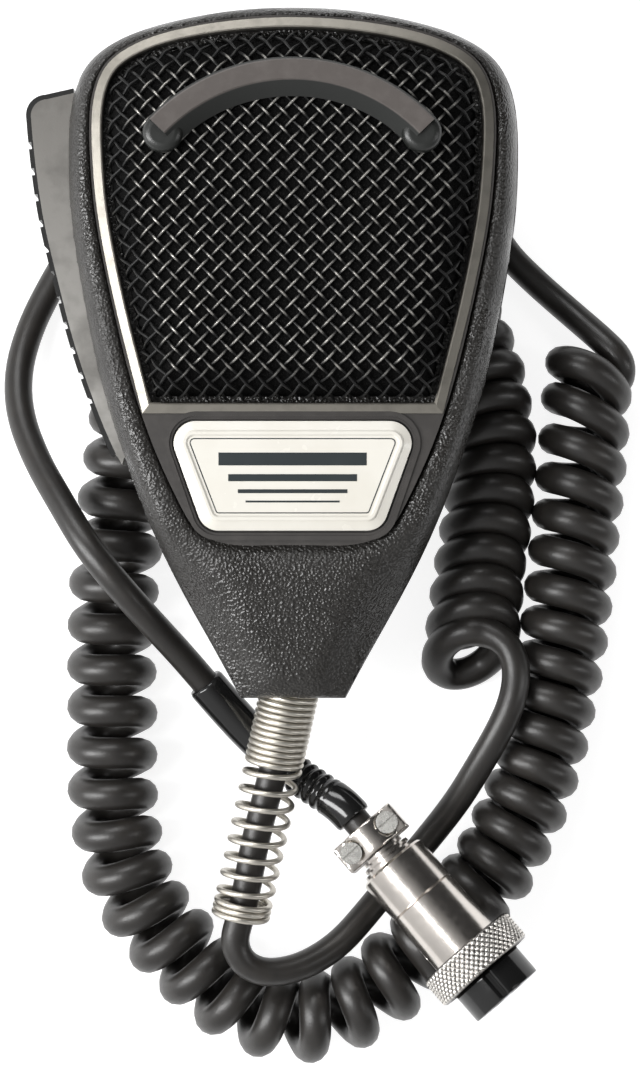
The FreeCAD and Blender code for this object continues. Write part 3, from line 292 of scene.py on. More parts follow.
def lever_material():
    """Satin grey moulding of the lever, with painted light making it paler towards its lower end.
    """
    shader = Shader("lever_body", (0.150, 0.143, 0.132), 0.36)
    # Painted light: paler towards the lower end of the lever.
    shader.tint(shader.ramp(shader.axis("Y"), *LEVER_PAINTED_LIGHT_Y, 0.85, 0.0), (0.34, 0.33, 0.31))
    cloud = shader.noise(160.0, 4.0)
    shader.tint(shader.ramp(cloud, 0.45, 0.72, 0.0, 0.65), (0.080, 0.076, 0.069))
    shader.gloss(shader.noise(800.0, 3.0), 0.30, 0.44)
    shader.bump(shader.noise(2600.0, 2.0), 0.000025, 0.5)
    return shader.material


def knurl_material():
    """Plated knurl, with painted shade in its grooves."""
    shader = Shader("ring_nickel", (0.78, 0.75, 0.71), 0.26, 1.0)
    # Painted shade: darker the deeper a point lies in a groove.
    shader.tint(shader.ramp(shader.attribute("groove_shade"), 0.25, 0.9), (0.035, 0.030, 0.026))
    shader.gloss(shader.noise(1400.0, 3.0), 0.20, 0.34)
    return shader.material


JACKET = jacket_material()
SPRING = metal_material("spring_steel", (0.60, 0.57, 0.51), 0.36)
NICKEL = metal_material("plug_nickel", (0.64, 0.60, 0.56), 0.20)
LEATHER = leather_material()
BEZEL = bezel_material()
TRIM = trim_material()
PRINT = plastic_material("badge_print", (0.020, 0.026, 0.028), 0.30)
BADGE = badge_material()
INSERT_BLACK = plastic_material("insert_black", (0.008, 0.008, 0.008), 0.14, 0.00001, 900.0)
SLEEVE_BLACK = plastic_material("sleeve_plastic", (0.008, 0.008, 0.008), 0.14, 0.00001, 900.0)

# Curves ----------------------------------------------------------------------------------------


def curve_object(name, points, radius, resolution, bevel):
    """Smooth round tube along control points given in metres."""
    data = bpy.data.curves.new(name, "CURVE")
    data.dimensions = "3D"
    data.resolution_u = resolution
    data.bevel_depth = radius
    data.bevel_resolution = bevel
    data.use_fill_caps = True
    spline = data.splines.new("NURBS")
    spline.points.add(len(points) - 1)
    for item, point in zip(spline.points, points):
        item.co = (*point, 1.0)
    spline.order_u = 3
    spline.use_endpoint_u = True
    obj = bpy.data.objects.new(name, data)
    scene.collection.objects.link(obj)
    return obj


def spline_points(points, resolution=20):
    """Points of the smooth line along a route, read from its spline."""
    obj = curve_object("route", points, 0.0, resolution, 0)
    bpy.context.view_layer.update()
    mesh = bpy.data.meshes.new_from_object(obj)
    found = [vertex.co.copy() for vertex in mesh.vertices]
    bpy.data.objects.remove(obj)
    bpy.data.meshes.remove(mesh)
    return found


def metres(points):
    """Points given in millimetres, as vectors in metres."""
    return [Vector(point) * MM for point in points]


def assign(obj, material):
    """Make this the only material of the object."""
    obj.data.materials.clear()
    obj.data.materials.append(material)


def table_value(table, at):
    """Straight interpolation in rows of (position, value, value...)."""
    for low, high in zip(table, table[1:]):
        if at <= high[0]:
            share = max(0.0, (at - low[0]) / (high[0] - low[0]))
            return [a + (b - a) * share for a, b in zip(low[1:], high[1:])]
    return list(table[-1][1:])


# The cord, from the clamp in the nose to the plug ----------------------------------------------

CORD_D = 5.0 * MM
LEAD_MIC = metres([
    (2.0, -55.5, 25.35), (-0.3, -66.0, 23.9), (-2.8, -78.6, 22.3), (-6.2, -91.6, 20.4),
    (-7.4, -98.9, 19.5), (-8.7, -104.4, 18.6), (-9.6, -107.6, 18.1), (-8.8, -110.5, 17.7),
    (-6.6, -112.5, 17.2), (-3.2, -113.2, 16.6), (1.8, -112.2, 15.4), (7.4, -109.0, 12.8),
    (12.2, -103.9, 9.6), (17.2, -98.0, 7.2), (22.3, -92.0, 6.6), (26.8, -85.9, 9.4),
    (30.0, -80.2, 12.4), (33.0, -74.8, 14.4), (35.3, -69.8, 15.2), (36.2, -65.0, 14.9),
    (35.4, -61.2, 14.4), (33.2, -59.0, 13.8),
])
COIL = metres([
    (28.8, -63.6, 7.5), (29.9, -51.0, 7.5), (31.6, -40.2, 7.5), (32.7, -29.5, 7.5),
    (31.6, -19.6, 7.5), (28.8, -10.8, 7.5), (25.0, -3.0, 7.5), (21.5, 5.0, 7.5),
    (17.0, 12.0, 7.5), (10.4, 17.8, 7.5), (1.2, 20.6, 7.5), (-8.6, 18.8, 7.5),
    (-16.0, 13.4, 7.5), (-21.4, 5.2, 7.5), (-24.6, -6.0, 7.5), (-25.6, -17.0, 7.5),
    (-26.9, -28.0, 7.5), (-28.3, -38.0, 7.5), (-29.5, -49.0, 7.5), (-30.0, -61.0, 7.5),
    (-29.8, -73.5, 7.5), (-29.9, -85.5, 7.5), (-28.4, -96.0, 7.5), (-24.0, -104.8, 7.5),
    (-17.9, -111.4, 7.5), (-13.2, -116.0, 7.5), (-7.6, -120.0, 7.5), (-0.9, -122.0, 7.5),
    (5.9, -121.2, 7.5), (11.7, -118.4, 7.5), (17.2, -113.9, 7.5), (24.2, -107.2, 7.5),
    (31.0, -99.8, 7.5), (35.4, -92.2, 7.5), (38.3, -85.3, 7.5), (40.4, -78.9, 7.5),
    (42.6, -69.4, 7.5), (44.4, -58.0, 7.5), (45.7, -46.0, 7.5), (46.8, -35.0, 7.5),
    (47.7, -24.5, 7.5), (48.1, -16.5, 7.5),
])
LEAD_PLUG = metres([
    (44.8, -14.9, 3.5), (48.6, -17.6, 2.8), (52.2, -18.4, 4.2), (54.0, -16.6, 6.8),
    (53.5, -13.5, 8.0), (50.8, -10.6, 6.9), (47.4, -7.4, 4.9), (43.8, -4.1, 3.3),
    (39.8, -0.5, 2.7), (35.0, 4.2, 2.7), (31.9, 9.8, 2.7), (29.0, 15.4, 2.7),
    (24.6, 21.6, 2.7), (17.6, 27.0, 2.7), (8.6, 30.6, 2.7), (-1.4, 31.8, 2.7),
    (-11.2, 30.2, 2.7), (-20.2, 26.0, 2.7), (-27.2, 20.0, 2.7), (-32.4, 12.6, 2.7),
    (-36.6, 5.0, 2.7), (-40.6, -1.8, 2.7), (-43.8, -8.4, 3.2), (-45.6, -15.6, 5.2),
    (-45.0, -22.8, 8.4), (-41.8, -30.4, 12.6), (-37.4, -37.4, 17.6), (-33.0, -44.4, 21.6),
    (-27.6, -51.0, 22.0), (-22.6, -56.8, 19.0), (-18.2, -61.8, 16.0), (-14.4, -66.4, 13.8),
])
PLUG_START = Vector((10.9, -89.3, 20.3)) * MM
PLUG_PLAN = Vector((0.659, -0.752, 0.0)).normalized()
PLUG_TILT = math.radians(9.0)
PLUG_DIR = PLUG_PLAN * math.cos(PLUG_TILT) + Vector((0.0, 0.0, math.sin(PLUG_TILT)))
SLEEVE_END = PLUG_START - PLUG_DIR * 1.8 * MM
SLEEVE = metres([
    (-14.4, -66.4, 13.8), (-10.4, -71.2, 12.6), (-5.4, -76.4, 12.2), (0.2, -81.2, 13.9),
    (4.6, -83.9, 17.6),
]) + [SLEEVE_END - PLUG_DIR * 2.8 * MM, SLEEVE_END]
CORD_END = [PLUG_START + PLUG_DIR * 2.7 * MM]

# The coil along its length: share of the length, pitch, lean of the turns' tops along the coil,
# lean of their sides, radius of the turns.
TURNS = [
    (0.00, 5.8, 5.6, 1.0, 5.6), (0.02, 5.4, 3.4, 1.6, 5.3), (0.08, 5.2, 1.9, 1.5, 4.95),
    (0.20, 5.3, 0.8, 0.8, 4.9), (0.33, 6.2, 0.2, 1.2, 4.9), (0.45, 6.9, 0.1, 1.3, 4.95),
    (0.60, 6.7, 0.1, 0.8, 4.95), (0.70, 7.2, 0.0, 0.5, 4.95), (0.80, 5.7, 0.3, 0.6, 4.9),
    (0.90, 5.7, 0.6, 0.3, 4.9), (0.96, 5.9, 0.8, -0.4, 4.95), (0.985, 6.4, 1.0, -1.2, 4.95),
    (1.00, 7.4, 1.2, -1.8, 5.0),
]
POINTS_PER_TURN = 16
DIRECTION_REACH = 12
RADIUS_WOBBLE = 0.10
PITCH_WOBBLE = 0.22
BENCH_GAP = 0.15 * MM
LEAD_SCALE = 0.92
COIL_SCALE = 1.04


def helix_points(axis, first_angle, last_angle):
    """Left-handed turns round a line; angles count from the right-hand side upwards."""
    lengths = [0.0]
    for before, after in zip(axis, axis[1:]):
        lengths.append(lengths[-1] + (after - before).length)
    total = lengths[-1]
    found = []
    at = 0.0
    turn = first_angle / 360.0
    index = 0
    wobble = [random.uniform(-1.0, 1.0) for _ in range(120)]
    step = 1.0 / POINTS_PER_TURN
    up = Vector((0.0, 0.0, 1.0))
    while True:
        pitch, top_lean, side_lean, radius = table_value(TURNS, at / total)
        while index < len(lengths) - 2 and lengths[index + 1] < at:
            index += 1
        share = (at - lengths[index]) / (lengths[index + 1] - lengths[index])
        spot = axis[index].lerp(axis[index + 1], min(share, 1.0))
        back = axis[max(index - DIRECTION_REACH, 0)]
        ahead = axis[min(index + DIRECTION_REACH + 1, len(axis) - 1)]
        along = (ahead - back).normalized()
        side = along.cross(up).normalized()
        number = int(turn)
        mix = turn - number
        uneven = wobble[number] * (1 - mix) + wobble[number + 1] * mix
        reach = (radius + RADIUS_WOBBLE * uneven) * MM
        angle = 2 * math.pi * turn
        lean = top_lean * math.sin(angle) + side_lean * math.cos(angle)
        point = spot + side * reach * math.cos(angle) + along * lean * MM
        point.z = max(spot.z + reach * math.sin(angle), CORD_D / 2 + BENCH_GAP)
        found.append(point)
        turn += step
        at += (pitch + PITCH_WOBBLE * uneven) * MM * step
        if at >= total and abs((turn * 360.0 - last_angle) % 360.0) <= 360.0 * step:
            return found


coil_axis = spline_points(COIL)
turns = helix_points(coil_axis, 75.0, 175.0)
cord_points = LEAD_MIC + turns + LEAD_PLUG + SLEEVE[1:] + CORD_END
cord = curve_object("cord", cord_points, CORD_D / 2, 5, 5)
first_turn = len(LEAD_MIC)
for number, item in enumerate(cord.data.splines[0].points):
    coiled = first_turn <= number < first_turn + len(turns)
    item.radius = COIL_SCALE if coiled else LEAD_SCALE
assign(cord, JACKET)
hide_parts("cord_lead_mic", "cord_coil", "cord_lead_plug", "cord_end")
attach(cord, "handset")
centre_line = spline_points(cord_points, 5)

# Meshes made from rings and loops --------------------------------------------------------------


def mesh_object(name, vertices, faces, material, smooth=True):
    """Object of one material from points and faces."""
    data = bpy.data.meshes.new(name)
    data.from_pydata([tuple(vertex) for vertex in vertices], [], faces)
    data.update()
    data.validate()
    if smooth:
        data.shade_smooth()
    obj = bpy.data.objects.new(name, data)
    scene.collection.objects.link(obj)
    assign(obj, material)
    return obj


def ring_faces(rings, sides, closed=False):
    """Quads between rings of points that follow each other, and caps at open ends."""
    faces = []
    for i in range(rings if closed else rings - 1):
        low, high = i * sides, (i + 1) % rings * sides
        for j in range(sides):
            k = (j + 1) % sides
            faces.append((low + j, low + k, high + k, high + j))
    if not closed:
        faces.append(tuple(reversed(range(sides))))
        faces.append(tuple(range((rings - 1) * sides, rings * sides)))
    return faces


def carried_frames(path):
    """Direction and two cross directions at each point of a path, without twist."""
    frames = []
    side = None
    for i, point in enumerate(path):
        along = (path[min(i + 1, len(path) - 1)] - path[max(i - 1, 0)]).normalized()
        if side is None:
            side = along.orthogonal().normalized()
        side = (side - along * side.dot(along)).normalized()
        frames.append((point, along, side, along.cross(side)))
    return frames


def tube_mesh(name, path, radius_at, sides, material):
    """Tube whose radius is a function of the distance along it and the angle round it."""
    vertices = []
    gone = 0.0
    before = path[0]
    for point, along, side, over in carried_frames(path):
        gone += (point - before).length
        before = point
        for j in range(sides):
            angle = 2 * math.pi * j / sides
            reach = radius_at(gone, angle)
            vertices.append(point + (side * math.cos(angle) + over * math.sin(angle)) * reach)
    return mesh_object(name, vertices, ring_faces(len(path), sides), material)


def turned_mesh(name, profile, sides, material, depth):
    """Closed profile of (radius, distance along the axis) turned round the plug's axis."""
    side = PLUG_DIR.orthogonal().normalized()
    over = PLUG_DIR.cross(side)
    vertices = []
    for j in range(sides):
        angle = 2 * math.pi * j / sides
        across = side * math.cos(angle) + over * math.sin(angle)
        for radius, along in profile:
            lowered = depth(radius, along, angle)
            vertices.append(PLUG_START + across * (radius - lowered) * MM + PLUG_DIR * along * MM)
    faces = ring_faces(sides, len(profile), closed=True)
    return mesh_object(name, vertices, faces, material)


# Glossy boot over the lead, wrinkled where it bends up to the plug -----------------------------

SLEEVE_R = 3.12 * MM
SLEEVE_SIDES = 40
SLEEVE_END_EASE = 0.5 * MM
SLEEVE_END_DROP = 0.07
WRINKLES_FROM = 20.0 * MM
WRINKLES_TO = 29.5 * MM
WRINKLE_PITCH = 1.75 * MM
WRINKLE_HALF = 0.26
WRINKLE_SLANT = 0.7
sleeve_path = spline_points(SLEEVE, 24)
sleeve_length = sum((b - a).length for a, b in zip(sleeve_path, sleeve_path[1:]))


def sleeve_radius(gone, angle):
    """Round ends, and folds across the middle stretch that fade out on both sides."""
    edge = min(gone, sleeve_length - gone) / SLEEVE_END_EASE
    radius = SLEEVE_R * (1 - SLEEVE_END_DROP + SLEEVE_END_DROP * min(1.0, edge))
    share = (gone - WRINKLES_FROM) / (WRINKLES_TO - WRINKLES_FROM)
    if 0.0 < share < 1.0:
        fade = math.sin(math.pi * share) ** 0.5
        phase = 2 * math.pi * gone / WRINKLE_PITCH + WRINKLE_SLANT * math.sin(angle)
        radius -= fade * WRINKLE_HALF * (1 + math.cos(phase)) * MM
    return radius


sleeve = tube_mesh("sleeve", sleeve_path, sleeve_radius, SLEEVE_SIDES, SLEEVE_BLACK)
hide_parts("cord_sleeve")
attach(sleeve, "handset")

# Strain relief spring: close turns at the case, eight open ones, close ones at the end ---------

RELIEF_START = LEAD_MIC[1]
RELIEF_DIR = (LEAD_MIC[5] - RELIEF_START).normalized()
WIRE_D = 0.95
SPRING_MEAN_R = 4.375
CLOSE_PITCH = 0.99
STRETCHES = [(0.9, 13.6, CLOSE_PITCH), (13.6, 36.2, 22.6 / 8), (36.2, 39.1, CLOSE_PITCH)]


def spring_points():
    """Turns of the spring round the lead, stretch by stretch."""
    side = Vector((1.0, 0.0, 0.0))
    side = (side - RELIEF_DIR * side.dot(RELIEF_DIR)).normalized()
    over = RELIEF_DIR.cross(side)
    found = []
    along = STRETCHES[0][0]
    angle = 0.0
    for low, high, pitch in STRETCHES:
        while along < high:
            point = RELIEF_START + RELIEF_DIR * along * MM
            point += (side * math.cos(angle) + over * math.sin(angle)) * SPRING_MEAN_R * MM
            found.append(point)
            angle += 2 * math.pi / POINTS_PER_TURN
            along += pitch / POINTS_PER_TURN
    return found


spring = curve_object("relief_spring", spring_points(), WIRE_D / 2 * MM, 3, 4)
assign(spring, SPRING)
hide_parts("strain_spring")
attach(spring, "handset")

# Woven grille ----------------------------------------------------------------------------------

WIRE_PITCH = 1.98 * MM
WIRE_R = 0.22 * MM
WIRE_STEPS = 7
WIRE_SIDES = 8
SHEET_MIDDLE = 0.40 * MM
GRILLE_EDGE = 0.0352
RAY_HEIGHT = 0.1
# Upward slant of the dome over which the wires' painted glint fades in.
PAINTED_GLINT_FROM, PAINTED_GLINT_FULL = 0.86, 0.96
GRILLE_LOW, GRILLE_HIGH = (Vector(corner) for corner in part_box("grille_mesh"))
GRILLE_MIDDLE_Y = (GRILLE_LOW.y + GRILLE_HIGH.y) / 2
GRILLE_HALF = (GRILLE_HIGH - GRILLE_LOW).xy.length / 2


def node_tree(name):
    """Search tree over the faces of a CAD node."""
    mesh = nodes[name].data
    return BVHTree.FromPolygons([vertex.co for vertex in mesh.vertices],
                                [tuple(face.vertices) for face in mesh.polygons])


def smoothed(values, reach):
    """Mean of each vector and its neighbours as far as reach."""
    found = []
    for i in range(len(values)):
        near = values[max(0, i - reach):i + reach + 1]
        found.append(sum(near, Vector((0.0, 0.0, 0.0))) / len(near))
    return found


def wire_runs(surface, along, across, offset):
    """Stretches of one wire that lie on the dome, as lists of (place, normal, distance)."""
    runs = []
    run = []
    steps = int(2 * GRILLE_HALF / WIRE_PITCH * WIRE_STEPS)
    for i in range(steps + 1):
        distance = -GRILLE_HALF + i * WIRE_PITCH / WIRE_STEPS
        plan = across * offset + along * distance
        above = Vector((plan.x, plan.y + GRILLE_MIDDLE_Y, RAY_HEIGHT))
        hit, normal, _, _ = surface.ray_cast(above, Vector((0.0, 0.0, -1.0)))
        if hit is not None and hit.z > GRILLE_EDGE:
            run.append((hit, normal, distance))
        elif run:
            runs.append(run)
            run = []
    if run:
        runs.append(run)
    return [item for item in runs if len(item) > WIRE_STEPS]


def weave(name, turn, parity, reach):
    """All wires of one direction; each goes over and under those of the other.

    The painted glint on a wire covers its crest and as much more as reach says.
    """
    surface = node_tree("grille_mesh")
    along = Vector((math.cos(turn), math.sin(turn)))
    across = Vector((-along.y, along.x))
    count = int(GRILLE_HALF / WIRE_PITCH)
    vertices, faces, painted_glint = [], [], []
    for number in range(-count, count + 1):
        for run in wire_runs(surface, along, across, number * WIRE_PITCH):
            places = smoothed([item[0] for item in run], 1)
            normals = smoothed([item[1] for item in run], 3)
            path, crests = [], []
            for place, normal, (_, _, distance) in zip(places, normals, run):
                wave = math.cos(math.pi * (distance / WIRE_PITCH + number + parity))
                normal = normal.normalized()
                path.append(place + normal * (wave * WIRE_R - SHEET_MIDDLE))
                crests.append(wave)
            first = len(vertices)
            for (point, ahead, _, _), normal, crest in zip(carried_frames(path), normals, crests):
                side = ahead.cross(normal).normalized()
                top = side.cross(ahead)
                for j in range(WIRE_SIDES):
                    angle = 2 * math.pi * j / WIRE_SIDES
                    vertices.append(point + (side * math.sin(angle) + top * math.cos(angle))
                                    * WIRE_R)
                    # Painted glint only on the top of each wire and on its crests; none on the
                    # steep sides of the dome, which stay dark as painted shade.
                    facing = max(0.0, math.cos(angle)) ** 3
                    level = min(1.0, max(0.0, (normal.normalized().z - PAINTED_GLINT_FROM)
                                         / (PAINTED_GLINT_FULL - PAINTED_GLINT_FROM)))
                    painted_glint.append(max(0.0, crest + reach) / (1.0 + reach) * facing * level)
            faces += [tuple(first + index for index in face)
                      for face in ring_faces(len(path), WIRE_SIDES)]
    obj = mesh_object(name, vertices, faces, mesh_wire_material())
    layer = obj.data.attributes.new("painted_glint", "FLOAT", "POINT")
    layer.data.foreach_set("value", painted_glint)
    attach(obj, "handset")
    return obj


# The rising wires get longer painted glints than the falling ones, as if lit from one side.
rising_wires = weave("grille_wires_rising", math.radians(45), 0, 0.55)
falling_wires = weave("grille_wires_falling", math.radians(-45), 1, -0.35)
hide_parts("grille_mesh")
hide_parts("grille_mesh")

# Loops round flat faces: trim of the bezel, borders and stripes of the badge -------------------

FACING_UP = 0.99
SAME_LEVEL = 0.05 * MM
LEVELS_WITHIN = 0.5 * MM
FEWEST_POINTS = 8


def top_loops(name, widest=False):
    """Height and ordered outlines, longest first, of a node's highest or widest upper face."""
    mesh = nodes[name].data
    spread = {}
    for face in mesh.polygons:
        if face.normal.z > FACING_UP:
            height = round(face.center.z, 4)
            spread[height] = spread.get(height, 0.0) + face.area
    high = max(spread)
    near = [height for height in spread if height > high - LEVELS_WITHIN]
    top = max(near, key=spread.get) if widest else high
    uses = {}
    for face in mesh.polygons:
        if face.normal.z > FACING_UP and all(abs(mesh.vertices[i].co.z - top) < SAME_LEVEL
                                             for i in face.vertices):
            for a, b in face.edge_keys:
                ends = tuple(sorted((tuple(round(c, 6) for c in mesh.vertices[a].co.xy),
                                     tuple(round(c, 6) for c in mesh.vertices[b].co.xy))))
                uses[ends] = uses.get(ends, 0) + 1
    beside = {}
    for (a, b), count in uses.items():
        if count == 1:
            beside.setdefault(a, []).append(b)
            beside.setdefault(b, []).append(a)
    loops = []
    while beside:
        start = min(beside)
        loop = [start]
        while True:
            here = loop[-1]
            following = [p for p in beside[here] if p not in loop[-2:] and p in beside]
            following = [p for p in following if p not in loop[1:]]
            if not following or following[0] == start:
                break
            loop.append(following[0])
        for point in loop:
            beside.pop(point)
        if len(loop) > FEWEST_POINTS:
            loops.append([Vector(point) for point in loop])
    loops.sort(key=lambda loop: -sum((a - b).length for a, b in zip(loop, loop[1:])))
    return top, loops


def grown_loop(loop, distance):
    """The loop moved outwards, with mitred corners."""
    count = len(loop)
    area = sum(loop[i].x * loop[(i + 1) % count].y - loop[(i + 1) % count].x * loop[i].y
               for i in range(count))
    sign = 1.0 if area > 0 else -1.0
    moved = []
    for i, point in enumerate(loop):
        before = (point - loop[i - 1]).normalized()
        after = (loop[(i + 1) % count] - point).normalized()
        first = Vector((before.y, -before.x)) * sign
        second = Vector((after.y, -after.x)) * sign
        moved.append(point + (first + second) * distance / (1.0 + max(first.dot(second), -0.5)))
    return moved


def band_on_loop(name, loop, section, level, material):
    """Solid band along a loop; its section is a list of (outward distance, height)."""
    moved = [grown_loop(loop, out * MM) for out, _ in section]
    vertices = []
    for i in range(len(loop)):
        for ring, (_, height) in zip(moved, section):
            vertices.append((ring[i].x, ring[i].y, level + height * MM))
    obj = mesh_object(name, vertices, ring_faces(len(loop), len(section), closed=True), material,
                      smooth=False)
    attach(obj, "handset")


bezel_top, bezel_loops = top_loops("bezel_frame", widest=True)
window = bezel_loops[1]
band_on_loop(
    "bezel_trim", window,
    [(0.0, -0.5), (0.0, 0.38), (0.20, 0.54), (0.42, 0.56), (1.70, 0.27), (1.78, -0.2)],
    bezel_top, TRIM)
badge_top, badge_loops = top_loops("badge")
badge_edge = badge_loops[0]
band_on_loop(
    "badge_rim", badge_edge,
    [(-0.05, -0.3), (-0.05, 0.12), (-0.25, 0.26), (-0.65, 0.26), (-0.9, 0.05), (-0.9, -0.1)],
    badge_top, BADGE)
band_on_loop(
    "badge_line", badge_edge,
    [(-1.25, -0.05), (-1.25, 0.03), (-1.42, 0.03), (-1.42, -0.05)],
    badge_top, PRINT)

# Rise above the badge's middle, length and width of each stripe, and heights of its two faces.
STRIPES = [(2.6, 23.0, 2.0), (-0.3, 20.0, 1.1), (-2.4, 17.0, 0.6), (-4.0, 14.6, 0.3)]
STRIPE_HEIGHTS = (-0.02, 0.03)
badge_middle = (min(p.y for p in badge_edge) + max(p.y for p in badge_edge)) / 2 / MM
stripe_points, stripe_faces = [], []
for rise, length, width in STRIPES:
    first = len(stripe_points)
    for height in STRIPE_HEIGHTS:
        for x, y in ((-1, -1), (1, -1), (1, 1), (-1, 1)):
            stripe_points.append((x * length / 2 * MM, (badge_middle + rise + y * width / 2) * MM,
                                  badge_top + height * MM))
    stripe_faces += [tuple(first + index for index in face) for face in ring_faces(2, 4)]
badge_stripes = mesh_object("badge_stripes", stripe_points, stripe_faces, PRINT, smooth=False)
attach(badge_stripes, "handset")

# Knurled coupling ring -------------------------------------------------------------------------

RING_LOW, RING_HIGH, RING_R = 25.2, 30.3, 8.6
RING_BORE, RING_CUP, RING_WALL = 6.1, 7.5, 1.4
RING_EDGES = ((0.5, 0.0), (0.15, 0.25))
PLAIN_EDGE = 0.45
KNURL_COUNT = 50
KNURL_PITCH = 1.10
KNURL_DEPTH = 0.30
KNURL_FLANK = 1.7
KNURL_ROWS = 34
SIDES_PER_GROOVE = 8


def knurl_depth(radius, along, angle):
    """Grooves crossing at both slants, which leave small pyramids."""
    if radius < RING_R:
        return 0.0
    turn = angle / (2 * math.pi) * KNURL_COUNT
    rise = along / KNURL_PITCH
    first = 1.0 - abs(((turn + rise) % 1.0) * 2.0 - 1.0)
    second = 1.0 - abs(((turn - rise) % 1.0) * 2.0 - 1.0)
    return KNURL_DEPTH * (1.0 - min(1.0, KNURL_FLANK * min(first, second)))


knurl_length = RING_HIGH - RING_LOW - 2 * PLAIN_EDGE
knurl_rows = [(RING_R, RING_LOW + PLAIN_EDGE + i * knurl_length / KNURL_ROWS)
              for i in range(KNURL_ROWS + 1)]
ring_profile = ([(RING_BORE, RING_LOW)]
                + [(RING_R - inward, RING_LOW + rise) for inward, rise in RING_EDGES]
                + knurl_rows
                + [(RING_R - inward, RING_HIGH - rise) for inward, rise in reversed(RING_EDGES)]
                + [(RING_CUP, RING_HIGH), (RING_CUP, RING_LOW + RING_WALL),
                   (RING_BORE, RING_LOW + RING_WALL)])
coupling_ring = turned_mesh("coupling_ring", ring_profile, KNURL_COUNT * SIDES_PER_GROOVE,
                            knurl_material(), knurl_depth)
# Painted shade mask: how deep each point of the knurl lies below the ring's outer radius.
groove_shade = []
for vertex in coupling_ring.data.vertices:
    out = vertex.co - PLUG_START
    out -= PLUG_DIR * out.dot(PLUG_DIR)
    groove_shade.append(min(1.0, max(0.0, (RING_R - out.length / MM) / KNURL_DEPTH)))
groove_shade_layer = coupling_ring.data.attributes.new("groove_shade", "FLOAT", "POINT")
groove_shade_layer.data.foreach_set("value", groove_shade)
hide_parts("plug_ring")
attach(coupling_ring, "coupling_ring")

# Smooth skin over the plug's insert, with its keyway -------------------------------------------

INSERT_LOW, INSERT_HIGH, INSERT_R = 29.9, 35.44, 6.23
INSERT_ROWS = (31.0, 33.0)
INSERT_EASE, INSERT_EASE_MIDDLE = 0.35, 0.1
SKIN_SIDES = 180
KEY_HALF_WIDTH = 0.7
KEY_DEPTH = 0.9
SKIN_BORE = 5.2
plug_up = (Vector((0.0, 0.0, 1.0)) - PLUG_DIR * PLUG_DIR.z).normalized()
skin_side = PLUG_DIR.orthogonal().normalized()
key_angle = math.atan2(plug_up.dot(PLUG_DIR.cross(skin_side)), plug_up.dot(skin_side))


def key_depth(radius, along, angle):
    """One straight groove along the upper line of the insert."""
    turn = angle - key_angle
    inside = math.cos(turn) > 0 and abs(radius * math.sin(turn)) < KEY_HALF_WIDTH
    return KEY_DEPTH if inside and radius > SKIN_BORE else 0.0


insert_skin = turned_mesh(
    "insert_skin",
    [(SKIN_BORE, INSERT_LOW), (INSERT_R, INSERT_LOW)]
    + [(INSERT_R, row) for row in INSERT_ROWS]
    + [(INSERT_R, INSERT_HIGH - INSERT_EASE),
       (INSERT_R - INSERT_EASE_MIDDLE, INSERT_HIGH - INSERT_EASE_MIDDLE),
       (INSERT_R - INSERT_EASE, INSERT_HIGH), (SKIN_BORE, INSERT_HIGH)],
    SKIN_SIDES, INSERT_BLACK, key_depth)
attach(insert_skin, "handset")

# Materials of the CAD pieces -------------------------------------------------------------------

SLOT_MATERIALS = {
    "case_plastic": LEATHER,
    "bezel_metal": BEZEL,
    "badge_face": BADGE,
    "windscreen_cloth": cloth_material(),
    "brow_enamel": brow_material(),
    "capsule_can": metal_material("capsule_can", (0.62, 0.62, 0.61), 0.35),
    "soft_rubber": plastic_material("soft_rubber", (0.018, 0.018, 0.018), 0.65, 0.00004, 1500.0),
    "button_chrome": metal_material("button_chrome", (0.72, 0.72, 0.71), 0.12),
    "screw_steel": metal_material("screw_steel", (0.60, 0.59, 0.56), 0.26, 1400.0),
    "lever_body": lever_material(),
    "lever_strip": plastic_material("lever_strip", (0.012, 0.012, 0.012), 0.30, 0.00004, 1500.0),
    "spring_steel": SPRING,
    "switch_moulding": plastic_material("switch_moulding", (0.02, 0.02, 0.021), 0.4, 0.00002),
    "plunger_plastic": plastic_material("plunger_plastic", (0.72, 0.69, 0.60), 0.4, 0.00002),
    "board_laminate": plastic_material("board_laminate", (0.07, 0.20, 0.09), 0.35, 0.00003),
    "component_black": plastic_material("component_black", (0.03, 0.03, 0.03), 0.5, 0.00002),
    "sleeve_plastic": SLEEVE_BLACK,
    "wire_jacket": plastic_material("wire_jacket", (0.42, 0.05, 0.04), 0.4, 0.00002),
    "plug_nickel": NICKEL,
    "insert_black": INSERT_BLACK,
    "contact_brass": metal_material("contact_brass", (0.72, 0.52, 0.22), 0.25),
}
for entry in frame["record"]["subparts"]:
    material = SLOT_MATERIALS.get(entry["material_slot"])
    if material:
        assign(nodes[entry["node"]], material)

SOFT_WIDTH = 0.18 * MM
SOFT_ANGLE = math.radians(40.0)

for name in ("plug_shell", "plug_insert", "ptt_lever"):
    bevel = nodes[name].modifiers.new("softened", "BEVEL")
    bevel.width = SOFT_WIDTH
    bevel.segments = 2
    bevel.limit_method = "ANGLE"
    bevel.angle_limit = SOFT_ANGLE
    bevel.harden_normals = False

# Front shell with the blended chin and rounded edges of the moulding ---------------------------

SHELL_VOXEL = 0.55 * MM
SHELL_STEPS = 160
PARTING = 0.0286
NOSE_END = 0.0682
SIDE_REACH, SIDE_DROP = 0.0075, 0.80
NOSE_REACH, NOSE_DROP = 0.0035, 0.40
CHIN_FADE = (0.0400, 0.0540)
ABOVE_PARTING = (0.0290, 0.0302)
WALL_TOP = (0.0332, 0.0346)
BLEND_IN, BLEND_OUT = (0.0405, 0.0460), (0.0520, 0.0580)
EVERYWHERE, ON_WALL, ON_CHIN = 0.045, 0.15, 0.80


